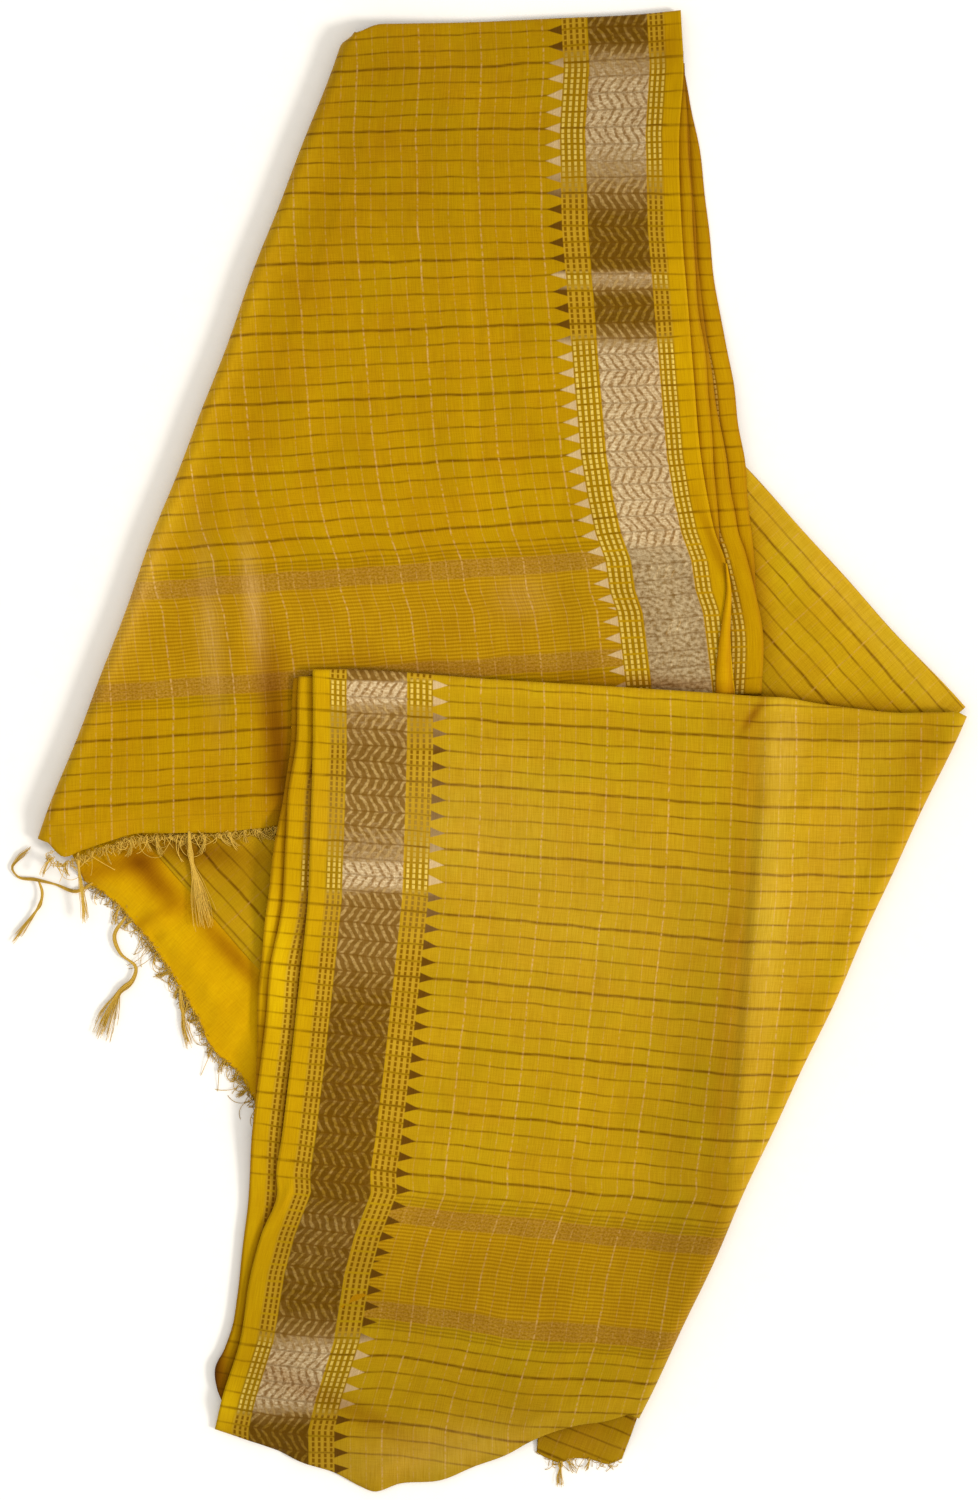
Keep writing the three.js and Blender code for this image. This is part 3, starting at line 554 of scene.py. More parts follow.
def top_roll(flat, z, cloth, out, reach):
    """The straight fold along the top of a stretch: a shallow lip."""
    edge = (part[-1] for part in (flat, z, cloth))
    return roll(*edge, out, reach, LIP_HALF, LIP_SWEEP, LIP_STEPS, (0, 1))


def with_rolls(grid, side, lip, order):
    """A grid with a roll beside it and a lip above it. The corner repeats the lip's end. The
    order is 1 with the roll at the right and -1 with it at the left."""
    corner = np.repeat(lip[:, -1:] if order == 1 else lip[:, :1], side.shape[1], axis=1)
    rows = [(grid, side)[::order], (lip, corner)[::order]]
    return np.concatenate([np.concatenate(row, axis=1) for row in rows])


def build(name, points, faces, material, uv=None, attributes=None):
    """A mesh object from points in millimetres, faces, cloth coordinates in millimetres for each
    point, and other values for each point."""
    used, renumbered = np.unique(faces, return_inverse=True)
    faces = renumbered.reshape(faces.shape)
    mesh = bpy.data.meshes.new(name)
    mesh.from_pydata((points.reshape(-1, 3)[used] * MM).tolist(), [], faces.tolist())
    if uv is not None:
        layer = mesh.uv_layers.new(name="cloth")
        layer.data.foreach_set("uv", (uv.reshape(-1, 2)[used][faces.ravel()] * MM).ravel())
    for key, values in (attributes or {}).items():
        attribute = mesh.attributes.new(key, "FLOAT", "POINT")
        attribute.data.foreach_set("value", np.asarray(values, np.float32).ravel()[used])
    mesh.materials.append(material)
    mesh.polygons.foreach_set("use_smooth", np.ones(len(faces), bool))
    mesh.update()
    return in_scene(name, mesh)


def in_scene(name, data):
    """A new object of the scene with this mesh, lamp or camera."""
    holder = bpy.data.objects.new(name, data)
    bpy.context.scene.collection.objects.link(holder)
    return holder


def close_poles(piece):
    """Joins the points that lie on the same spot, so that caps meet in one point."""
    shell = bmesh.new()
    shell.from_mesh(piece.data)
    bmesh.ops.remove_doubles(shell, verts=shell.verts, dist=1e-7)
    shell.to_mesh(piece.data)
    shell.free()


def grid_faces(rows, columns, keep=None):
    """Four-cornered faces of a grid of points, wound to face up where rows go +Y and columns +X."""
    index = np.arange(rows * columns).reshape(rows, columns)
    faces = np.stack([index[:-1, :-1], index[:-1, 1:], index[1:, 1:], index[1:, :-1]], axis=-1)
    return faces[keep] if keep is not None else faces.reshape(-1, 4)


def cut_of(uv, faces):
    """Width, length and area, in metres, of the cloth that a grid's cloth coordinates cover."""
    corners = uv.reshape(-1, 2)[faces] * MM
    a = corners[:, 2] - corners[:, 0]
    b = corners[:, 3] - corners[:, 1]
    area = float(np.abs(a[:, 0] * b[:, 1] - a[:, 1] * b[:, 0]).sum() / 2)
    spans = np.ptp(corners.reshape(-1, 2), axis=0)
    return float(spans[0]), float(spans[1]), area


def ride_and_name(piece, slot, *nodes):
    """The piece moves with the one body and replaces its CAD nodes; the slot is not used."""
    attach(piece, "root")
    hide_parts(*nodes)


def thicken(piece, thick):
    """Makes a sheet a thin shell, with its thickness below it."""
    wall = piece.modifiers.new("ply", "SOLIDIFY")
    wall.thickness = thick * MM
    wall.offset = -1


def cloth_piece(name, points, uv, material, slot, node, attributes, keep=None):
    """One ply from a grid of points, with its flat size and area."""
    faces = grid_faces(*points.shape[:2], keep)
    piece = build(name, points, faces, material, uv, attributes)
    thicken(piece, CLOTH)
    ride_and_name(piece, slot, node)
    width, length, area = cut_of(uv, faces)
    return piece, (width, length), area


# Materials


def add(tree, kind, inputs=None, **settings):
    """One shader node with its settings and inputs. An input is a value, a socket or a node, which
    stands for its first output in use."""
    made = tree.nodes.new("ShaderNode" + kind)
    for name, value in settings.items():
        setattr(made, name, value)
    for key, value in (inputs or {}).items():
        if isinstance(value, bpy.types.Node):
            value = next(output for output in value.outputs if output.enabled)
        if isinstance(value, bpy.types.NodeSocket):
            tree.links.new(value, made.inputs[key])
        else:
            made.inputs[key].default_value = value
    return made


COLOUR_A, COLOUR_B = 6, 7  # the colour inputs of a Mix node


def new_tree(name):
    """A new material and its empty node tree."""
    material = bpy.data.materials.new(name)
    material.use_nodes = True
    tree = material.node_tree
    tree.nodes.clear()
    return material, tree


def layered(tree, colour, layers):
    """A colour with others laid over it in turn, each by its own share."""
    for share, over in layers:
        colour = add(tree, "Mix", {0: share, COLOUR_A: colour, COLOUR_B: over}, data_type="RGBA")
    return colour


def stripes(tree, run, pitch, width, blur):
    """1 on lines of this width, one every pitch from 0, with edges blurred by this much."""
    distance = add(tree, "Math", {0: run, 1: pitch / 2}, operation="PINGPONG")
    limits = {"From Min": width / 2 + blur, "From Max": width / 2 - blur}
    return add(tree, "MapRange", {"Value": distance} | limits, interpolation_type="SMOOTHSTEP")


def between(tree, value, low, high, blur=0.35):
    """1 where a value lies between two limits, with blurred edges."""
    rise, fall = (
        add(tree, "MapRange", {"Value": value, "From Min": at - way, "From Max": at + way})
        for at, way in ((low, blur), (high, -blur))
    )
    return add(tree, "Math", {0: rise, 1: fall}, operation="MULTIPLY")


def thread_noise(tree, place, across, up, detail=2.0):
    """Noise stretched into threads: about 0 to 1, with its grain in millimetres each way."""
    grain = (1 / across, 1 / up, 1.0)
    scaled = add(tree, "VectorMath", {0: place, 1: grain}, operation="MULTIPLY")
    return add(tree, "TexNoise", {"Vector": scaled, "Scale": 1.0, "Detail": detail})


def cloth_place(tree):
    """The cloth's own coordinates in millimetres."""
    uv = add(tree, "UVMap", uv_map="cloth")
    return add(tree, "VectorMath", {0: uv, "Scale": 1 / MM}, operation="SCALE")


def slubs(tree, place, weft, warp, wear, streak, broad):
    """Slubs along both threads and broad patches from handling, with grains in millimetres, and
    how bright the last two make the cloth, from lowest to highest."""
    slub_weft = thread_noise(tree, place, *weft, 3.0)
    slub_warp = thread_noise(tree, place, *warp, 3.0)
    worn = thread_noise(tree, place, *wear)
    streaks, patches = (
        add(tree, "MapRange", {"Value": noise, "To Min": low, "To Max": high})
        for noise, (low, high) in ((slub_warp, streak), (worn, broad))
    )
    even = add(tree, "Math", {0: streaks, 1: patches}, operation="MULTIPLY")
    return slub_weft, slub_warp, worn, even


def cotton_silk(tree, flat, even, bumps, depth, finish):
    """The surface of both weaves, matt with a low silky sheen, from its flat colour and the painted
    light and shade of its tone. Darker places in yellow cloth turn orange-brown, because red is
    what it soaks up least."""
    tone = add(tree, "Attribute", attribute_name="tone").outputs["Fac"]
    shade = add(tree, "Math", {0: even, 1: tone}, operation="MULTIPLY")
    green, blue = (
        add(tree, "Math", {0: shade, 1: power}, operation="POWER") for power in (1.5, 2.0)
    )
    warmer = add(tree, "CombineXYZ", {0: shade, 1: green, 2: blue})
    inputs = {
        "Base Color": add(tree, "VectorMath", {0: flat, 1: warmer}, operation="MULTIPLY"),
        "Normal": add(tree, "Bump", {"Height": bumps, "Strength": 0.4, "Distance": depth}),
        "Specular IOR Level": 0.3,
        "Specular Tint": linear("#E8B63A"),
        "Sheen Roughness": 0.5,
        "Sheen Tint": linear("#E9B93C"),
    }
    surface = add(tree, "BsdfPrincipled", inputs | finish)
    add(tree, "OutputMaterial", {"Surface": surface})


def thread_lines(tree, weft, warp, warp_pitch, slub_weft, worn, place):
    """Strengths of the brown weft lines and of the pale warp lines, both with every fourth line
    heavier, broken up by the slubs, and the warps showing only as dashes between the wefts."""
    dash = thread_noise(tree, place, 3.0, 2.2)
    fade, broken, lit = (
        add(tree, "MapRange", {"Value": noise, "From Min": low, "From Max": high} | ends)
        for noise, low, high, ends in (
            (worn, 0.3, 0.7, {"To Min": 0.5}),
            (slub_weft, 0.3, 0.6, {"To Min": 0.45}),
            (dash, 0.38, 0.68, {"To Max": 0.9}),
        )
    )
    lines = []
    for run, pitch, fine, fine_share, heavy, heavy_share, shown in (
        (weft, CHECK, (0.95, 0.6), fade, (1.6, 0.65), 0.9, broken),
        (warp, warp_pitch, (0.6, 0.35), 0.5, (0.85, 0.4), 1.0, lit),
    ):
        fine = stripes(tree, run, pitch, *fine)
        fine = add(tree, "Math", {0: fine, 1: fine_share}, operation="MULTIPLY")
        heavy = stripes(tree, run, 4 * pitch, *heavy)
        if heavy_share < 1:
            heavy = add(tree, "Math", {0: heavy, 1: heavy_share}, operation="MULTIPLY")
        either = add(tree, "Math", {0: fine, 1: heavy}, operation="MAXIMUM")
        lines.append(add(tree, "Math", {0: either, 1: shown}, operation="MULTIPLY"))
    return lines


def dot_cells(tree, s, weft, edges, pitch):
    """A zone of dots between two distances from the selvedge, three rows to a check: the zone
    without the gap that each weft line runs through, and the cells in it."""
    gap = stripes(tree, weft, CHECK, 1.3, 0.35)
    clear = add(tree, "Math", {0: 1.0, 1: gap}, operation="SUBTRACT")
    zone = add(tree, "Math", {0: between(tree, s, *edges), 1: clear}, operation="MULTIPLY")
    columns, rows = (
        stripes(tree, add(tree, "Math", {0: run, 1: start}, operation="SUBTRACT"), *sizes, 0.35)
        for run, start, sizes in (
            (s, edges[0] + pitch / 2, (pitch, 0.44 * pitch)),
            (weft, CHECK / 6, (CHECK / 3, 2.5)),
        )
    )
    cells = add(tree, "Math", {0: columns, 1: rows}, operation="MULTIPLY")
    return zone, add(tree, "Math", {0: cells, 1: zone}, operation="MULTIPLY")


def teeth_on_wefts(tree, s, weft):
    """A row of teeth along the border's inner side, each tapering along its weft line."""
    aside = add(tree, "Math", {0: weft, 1: CHECK / 2}, operation="PINGPONG")
    ends = {"From Min": TEETH_BASE, "From Max": TEETH_TIP}
    room = add(tree, "MapRange", {"Value": s, "To Min": TEETH_HALF, "To Max": 0.0} | ends)
    inside = add(tree, "Math", {0: room, 1: aside}, operation="SUBTRACT")
    teeth = add(tree, "MapRange", {"Value": inside, "From Min": -0.25, "From Max": 0.35})
    zone = between(tree, s, TEETH_BASE, TEETH_TIP)
    return add(tree, "Math", {0: teeth, 1: zone}, operation="MULTIPLY")


def herringbone(tree, s, weft, place):
    """The broad metal band's strokes: they lean across the band and turn back at every weft line,
    each a little bent, with a thin line where they turn."""
    turning = add(tree, "Math", {0: weft, 1: CHECK}, operation="PINGPONG")
    bend = thread_noise(tree, place, 6.0, 5.0, 1.0)
    lean = add(tree, "Math", {0: turning, 1: 0.62, 2: s}, operation="MULTIPLY_ADD")
    lean = add(tree, "Math", {0: bend, 1: 3.4, 2: lean}, operation="MULTIPLY_ADD")
    strokes = stripes(tree, lean, STROKE_PITCH, 1.9, 0.5)
    turns = stripes(tree, weft, CHECK, 0.9, 0.6)
    gaps = add(tree, "Math", {0: turns, 1: -0.8, 2: 1.0}, operation="MULTIPLY_ADD")
    wear = thread_noise(tree, place, 2.6, 1.8)
    wear = add(tree, "MapRange", {"Value": wear, "From Min": 0.34, "From Max": 0.56, "To Min": 0.3})
    whole = add(tree, "Math", {0: gaps, 1: wear}, operation="MULTIPLY")
    return add(tree, "Math", {0: strokes, 1: whole}, operation="MULTIPLY"), turns


def checked_cloth(name, first_warp, warp_pitch, end_plain, colours):
    """Cotton-silk plain weave: a matt mustard ground with a low silky sheen, brown weft lines and
    pale metal-wrapped warp lines in checks, and a border whose flat metal threads shine."""
    material, tree = new_tree(name)
    place = cloth_place(tree)
    axes = add(tree, "SeparateXYZ", {0: place})
    s = axes.outputs[0]
    glint, shine, dim, rubbed = (
        add(tree, "Attribute", attribute_name=value).outputs["Fac"]
        for value in ("glint", "shine", "dim", "rubbed")
    )

    # Threads wander by a millimetre or two over a hand's width
    wander = add(tree, "TexNoise", {"Vector": place, "Scale": 1 / 34, "Detail": 2.0})
    wander = add(tree, "SeparateXYZ", {0: wander.outputs["Color"]})
    up = add(tree, "Math", {0: wander.outputs[0], 1: 3.4, 2: -1.7}, operation="MULTIPLY_ADD")
    aside = add(tree, "Math", {0: wander.outputs[1], 1: 2.4, 2: -1.2}, operation="MULTIPLY_ADD")
    l = add(tree, "Math", {0: axes.outputs[1], 1: up}, operation="ADD")

    # The lines before the pallu band count from one place and those past it from another
    past = add(tree, "Math", {0: l, 1: sum(PALLU) / 2}, operation="GREATER_THAN")
    counts = {0: past, 1: WEFTS_PAST - WEFTS_FROM, 2: WEFTS_FROM}
    start = add(tree, "Math", counts, operation="MULTIPLY_ADD")
    weft = add(tree, "Math", {0: l, 1: start}, operation="SUBTRACT")
    warp = add(tree, "Math", {0: s, 1: aside}, operation="ADD")
    warp = add(tree, "Math", {0: warp, 1: first_warp}, operation="SUBTRACT")

    # Ground, greener in places and yellower at the selvedge
    slub_weft, slub_warp, worn, even = slubs(
        tree, place, (9.0, 0.7), (0.8, 14.0), (24, 34), (0.86, 1.14), (0.88, 1.12)
    )
    greener, strip, field, in_field, past_end, faint, lit = (
        add(tree, "MapRange", {"Value": value, "From Min": low, "From Max": high} | ends)
        for value, low, high, ends in (
            (wander.outputs[2], 0.42, 0.68, {"To Max": 0.35}),
            (s, 11.0, 9.0, {"To Max": 0.7}),
            (s, 71.0, 72.0, {}),
            (s, 79.5, 81.0, {}),
            (l, end_plain, end_plain + 1, {}),
            (s, 3.0, 12.0, {"To Min": 0.6}),
            (shine, 0.3, 0.6, {}),
        )
    )

    # Pallu band: fine stripes between two greyer strips, with a few thin lines outside them
    pallu = add(tree, "Math", {0: between(tree, l, *PALLU), 1: field}, operation="MULTIPLY")
    low_strip = between(tree, l, PALLU[0], PALLU[0] + PALLU_EDGE)
    high_strip = between(tree, l, PALLU[1] - PALLU_EDGE, PALLU[1])
    strips = add(tree, "Math", {0: low_strip, 1: high_strip}, operation="MAXIMUM")
    strips = add(tree, "Math", {0: strips, 1: field}, operation="MULTIPLY")
    strips = add(tree, "Math", {0: strips, 1: 0.65}, operation="MULTIPLY")
    fine = stripes(tree, l, 2.2, 1.1, 0.45)
    near = between(tree, l, PALLU[0] - PALLU_LINES, PALLU[1] + PALLU_LINES)
    outside_band = add(tree, "Math", {0: near, 1: pallu}, operation="SUBTRACT", use_clamp=True)
    thin = add(tree, "Math", {0: fine, 1: outside_band}, operation="MULTIPLY")
    soft = add(tree, "Math", {0: field, 1: 0.45}, operation="MULTIPLY")
    thin = add(tree, "Math", {0: thin, 1: soft}, operation="MULTIPLY")

    # Lines of the checks: no wefts in the pallu band or at the very end, no warps in the border
    wefts, warps = thread_lines(tree, weft, warp, warp_pitch, slub_weft, worn, place)
    no_band = add(tree, "Math", {0: 1.0, 1: near}, operation="SUBTRACT")
    wefts = add(tree, "Math", {0: wefts, 1: no_band}, operation="MULTIPLY")
    wefts = add(tree, "Math", {0: wefts, 1: past_end}, operation="MULTIPLY")
    wefts = add(tree, "Math", {0: wefts, 1: thin}, operation="MAXIMUM")
    wefts = add(tree, "Math", {0: wefts, 1: faint}, operation="MULTIPLY", use_clamp=True)
    warps = add(tree, "Math", {0: warps, 1: in_field}, operation="MULTIPLY")
    glow = add(tree, "Math", {0: glint, 1: slub_warp}, operation="MULTIPLY")
    warps = add(tree, "Math", {0: warps, 1: glow}, operation="ADD", use_clamp=True)

    # Border: two zones of dots and a row of teeth
    outer_zone, outer_cells = dot_cells(tree, s, weft, OUTER_DOTS, 3.2)
    inner_zone, inner_cells = dot_cells(tree, s, weft, INNER_DOTS, 3.6)
    zones = add(tree, "Math", {0: outer_zone, 1: inner_zone}, operation="MAXIMUM")
    zones = add(tree, "Math", {0: zones, 1: 0.75}, operation="MULTIPLY")
    cells = add(tree, "Math", {0: outer_cells, 1: inner_cells}, operation="MAXIMUM")
    teeth = teeth_on_wefts(tree, s, weft)

    # Broad band, in painted light and shade: where its metal is painted in shade the strokes are
    # lighter than their ground and are painted catching the light first, where it is painted lit
    # the ground has painted glitter and the strokes are darker, and one stretch is mottled with
    # painted silver highlights on brown
    band = between(tree, s, BAND_FROM, BAND_TO)
    strokes, turns = herringbone(tree, s, weft, place)
    sparkle = thread_noise(tree, place, 1.5, 1.3, 1.0)
    stray = thread_noise(tree, place, 5.0, 2.6)
    uneven = add(tree, "Math", {0: stray, 1: 0.4, 2: -0.2}, operation="MULTIPLY_ADD")
    light = add(tree, "Math", {0: shine, 1: uneven}, operation="ADD")
    first, catching, fleck, glitter, mottle = (
        add(tree, "MapRange", {"Value": value, "From Min": low, "From Max": high})
        for value, low, high in (
            (light, 0.1, 0.4),
            (light, 0.38, 0.72),
            (thread_noise(tree, place, 1.5, 1.1, 1.0), 0.35, 0.65),
            (thread_noise(tree, place, 2.4, 1.3), 0.32, 0.66),
            (thread_noise(tree, place, 3.0, 2.0, 3.0), 0.36, 0.62),
        )
    )

    # Each part's colour goes from the first of its two to the second. Where the border's metal is
    # painted in shade it has light lattices, dark cells and dark teeth, and where it is painted lit
    # the other way round
    parts = {
        "ground": slub_weft, "pallu": fine, "strip": fleck, "lattice": lit, "dot": lit,
        "tooth": lit, "stroke": first, "shaded_metal_ground": first, "lit_metal_ground": glitter,
        "mottled_metal": mottle,
    }
    shown = {}
    for part, share in parts.items():
        first_colour, second_colour = (linear(shade) for shade in colours[part])
        ends = {COLOUR_A: first_colour, COLOUR_B: second_colour}
        shown[part] = add(tree, "Mix", {0: share} | ends, data_type="RGBA")
    line_colour = linear(colours["weft"])
    shadow = linear(colours["metal_shadow"])
    mottling = add(tree, "Math", {0: rubbed, 1: 0.75}, operation="MULTIPLY")
    turns = add(tree, "Math", {0: turns, 1: 0.5}, operation="MULTIPLY")
    metal_in_shade, metal_in_light = (
        add(tree, "Mix", {0: strokes, COLOUR_A: under, COLOUR_B: over}, data_type="RGBA")
        for under, over in (
            (shown["shaded_metal_ground"], shown["stroke"]),
            (shown["lit_metal_ground"], shadow),
        )
    )
    metal = layered(
        tree, metal_in_shade, [(catching, metal_in_light), (mottling, shown["mottled_metal"]), (turns, line_colour)]
    )
    flat = layered(
        tree,
        shown["ground"],
        [
            (greener, linear(colours["green"])),
            (strip, linear(colours["selvedge"])),
            (pallu, shown["pallu"]),
            (strips, shown["strip"]),
            (wefts, line_colour),
            (warps, linear(colours["warp"])),
            (zones, shown["lattice"]),
            (cells, shown["dot"]),
            (teeth, shown["tooth"]),
            (band, metal),
        ],
    )
    # Painted light and shade with no change of hue: the colour scaled by the dim attribute
    dimmed = add(tree, "VectorMath", {0: flat, "Scale": dim}, operation="SCALE")

    # Metal threads are smoother than the cotton and stand slightly proud. The real thread spacing
    # of 0.3 mm is too fine to show, so the bump is drawn at 0.7 mm
    zari = add(tree, "Math", {0: band, 1: teeth}, operation="MAXIMUM")
    lit_cells = add(tree, "Math", {0: cells, 1: lit}, operation="MULTIPLY")
    zari = add(tree, "Math", {0: zari, 1: lit_cells}, operation="MAXIMUM")
    metallic = add(tree, "Math", {0: zari, 1: catching}, operation="MULTIPLY")
    metallic = add(tree, "Math", {0: metallic, 1: 0.3}, operation="MULTIPLY")
    roughness = add(tree, "MapRange", {"Value": zari, "To Min": 0.62, "To Max": 0.42})
    bumps = add(tree, "Math", {0: slub_weft, 1: slub_warp}, operation="ADD")
    bumps = add(tree, "Math", {0: wefts, 1: 0.5, 2: bumps}, operation="MULTIPLY_ADD")
    metal_bumps = add(tree, "Math", {0: strokes, 1: sparkle}, operation="ADD")
    metal_bumps = add(tree, "Math", {0: metal_bumps, 1: zari}, operation="MULTIPLY")
    bumps = add(tree, "Math", {0: metal_bumps, 1: 0.8, 2: bumps}, operation="MULTIPLY_ADD")
    finish = {"Metallic": metallic, "Roughness": roughness, "Sheen Weight": 0.1}
    cotton_silk(tree, dimmed, even, bumps, 0.0005, finish)
    return material


def plain_cloth(name, shade, light):
    """The same cotton-silk in plain weave with no checks: matt, with fine slubs both ways."""
    material, tree = new_tree(name)
    slub_weft, slub_warp, _, even = slubs(
        tree, cloth_place(tree), (8.0, 0.8), (0.8, 10.0), (22, 30), (0.88, 1.12), (0.88, 1.1)
    )
    shades = {COLOUR_A: linear(shade), COLOUR_B: linear(light)}
    ground = add(tree, "Mix", {0: slub_weft} | shades, data_type="RGBA")
    bumps = add(tree, "Math", {0: slub_weft, 1: slub_warp}, operation="ADD")
    cotton_silk(tree, ground, even, bumps, 0.0004, {"Roughness": 0.64, "Sheen Weight": 0.12})
    return material


def tassel_yarn(name):
    """Loose two-ply cotton-silk yarn, from olive to pale straw by each yarn's tone."""
    material, tree = new_tree(name)
    tone = add(tree, "Attribute", attribute_name="tone").outputs["Fac"]
    place = add(tree, "TexCoord").outputs["Object"]
    fibre = add(tree, "TexNoise", {"Vector": place, "Scale": 900.0, "Detail": 2.0})
    mixed = add(tree, "Math", {0: fibre, 1: 0.6, 2: -0.3}, operation="MULTIPLY_ADD")
    mixed = add(tree, "Math", {0: tone, 1: mixed}, operation="ADD", use_clamp=True)
    shades = {COLOUR_A: linear("#8A680A"), COLOUR_B: linear("#E4BE56")}
    inputs = {
        "Base Color": add(tree, "Mix", {0: mixed} | shades, data_type="RGBA"),
        "Roughness": 0.6,
        "Specular IOR Level": 0.25,
        "Specular Tint": linear("#F0D070"),
        "Sheen Weight": 0.1,
        "Sheen Roughness": 0.5,
        "Sheen Tint": linear("#F0D070"),
    }
    add(tree, "OutputMaterial", {"Surface": add(tree, "BsdfPrincipled", inputs)})
    return material


CHECKED_COLOURS = {
    "ground": ("#A87C00", "#BE9206"),
    "green": "#AC8C00",
    "selvedge": "#C49800",
    "weft": "#664000",
    "warp": "#CDA468",
    "pallu": ("#BC900E", "#A07404"),
    "strip": ("#8A6008", "#AC8036"),
    "lattice": ("#BA9224", "#8E6800"),
    "dot": ("#7C5400", "#DEC05C"),
    "tooth": ("#5E3C0A", "#CDB080"),
    "shaded_metal_ground": ("#634208", "#82602C"),
    "stroke": ("#8A681E", "#B89A62"),
    "lit_metal_ground": ("#AE8E60", "#E0CAA0"),
    "mottled_metal": ("#7A5E34", "#C0AC86"),
    "metal_shadow": "#927044",
}
LOWER_COLOURS = CHECKED_COLOURS | {"ground": ("#A98206", "#C09812"), "green": "#AA9006"}
MIDDLE_COLOURS = LOWER_COLOURS | {"warp": "#BC9040"}

# Checked cloth: name, first warp line and pitch of the warp lines in millimetres, plain end
upper_weave, lower_weave, middle_weave = (
    checked_cloth("cotton_silk_check_" + stretch, *rest)
    for stretch, *rest in (
        ("upper", 83.3, 9.22, UPPER_END_PLAIN, CHECKED_COLOURS),
        ("lower", 100.0, 9.35, LOWER_END_PLAIN, LOWER_COLOURS),
        ("middle", 83.3, 9.3, UPPER_END_PLAIN, MIDDLE_COLOURS),
    )
)
plain_weave = plain_cloth("cotton_silk_plain", "#BD8F00", "#CFA304")
# The hidden plies are the same cloth drawn darker: painted shade for where they show between the
# stretches
inner_weave = plain_cloth("cotton_silk_inner_plies", "#906400", "#A67604")
yarn = tassel_yarn("frayed_cotton_silk_yarn")


# Cloth coordinates


def by_height(rows, y):
    """Values given in rows of height and value, read at other heights."""
    rows = np.array(sorted(rows))
    return np.interp(y, rows[:, 0], rows[:, 1])


def selvedge_at(edge, y):
    """Where a selvedge lies at this height in plan."""
    return by_height([(up, across) for across, up in EDGES[edge]], y)


def upper_cloth_at(x, y):
    """Cloth coordinates of the upper stretch: s in from its selvedge, and l up from its end,
    along wefts that climb slightly to the right."""
    tilt = np.radians(np.interp(y, [133, 251, 328, 410], [4, 2, 0, 3]))
    level = y - (x - UPPER_WEFT_AT[0]) * np.tan(tilt)
    l = WEFTS_PAST + 0.9975 * (level - UPPER_WEFT_AT[1])
    return np.stack([selvedge_at("upper_cloth_edge", y) - x, l], axis=-1)


def lower_cloth_at(x, y):
    """Cloth coordinates of the lower stretch, whose wefts fall to the right up to the packing
    crease and run nearly level past it, with a wave near its lower end."""
    tilt = np.tan(np.radians(np.interp(y, [-177, 30], [6.0, 3.6])))
    crease = 155.3 + (y + 81) * 0.077
    fall = (np.minimum(x, crease) - LOWER_WEFT_AT[0]) * tilt
    fall = fall + np.maximum(x - crease, 0) * math.tan(math.radians(1))
    fall = fall + 1.7 * np.sin(x / 21 + 0.8) * smooth((-300 - y) / 60)
    l = WEFTS_PAST + 0.99 * (y - LOWER_WEFT_AT[1] + fall)
    return np.stack([x - selvedge_at("lower_selvedge", y), l], axis=-1)


def looks(x, y, look):
    """How brightly the metal threads are painted at plan points, the painted light and shade on the
    ground, and where the metal band is mottled with painted silver highlights."""
    return {
        "shine": by_height(look.shine, y),
        "tone": 1 + spots(look.patches, x, y, "tone"),
        "glint": np.clip(spots(look.patches, x, y, "glint"), 0, 1),
        "dim": by_height(look.dim, y) + spots(look.patches, x, y, "dim"),
        "rubbed": smooth((look.rubbed_below - y) / 9),
    }


def extended(look, left=0, right=0):
    """Values of a grid, with its edges repeated for the rows and columns that go round a fold."""
    ends = ((0, LIP_STEPS), (left, right))
    return {key: np.pad(values, ends, mode="edge") for key, values in look.items()}


# Upper stretch

UPPER = {"columns": 150, "turn": 58, "rows": 172, "end_rows": 46}


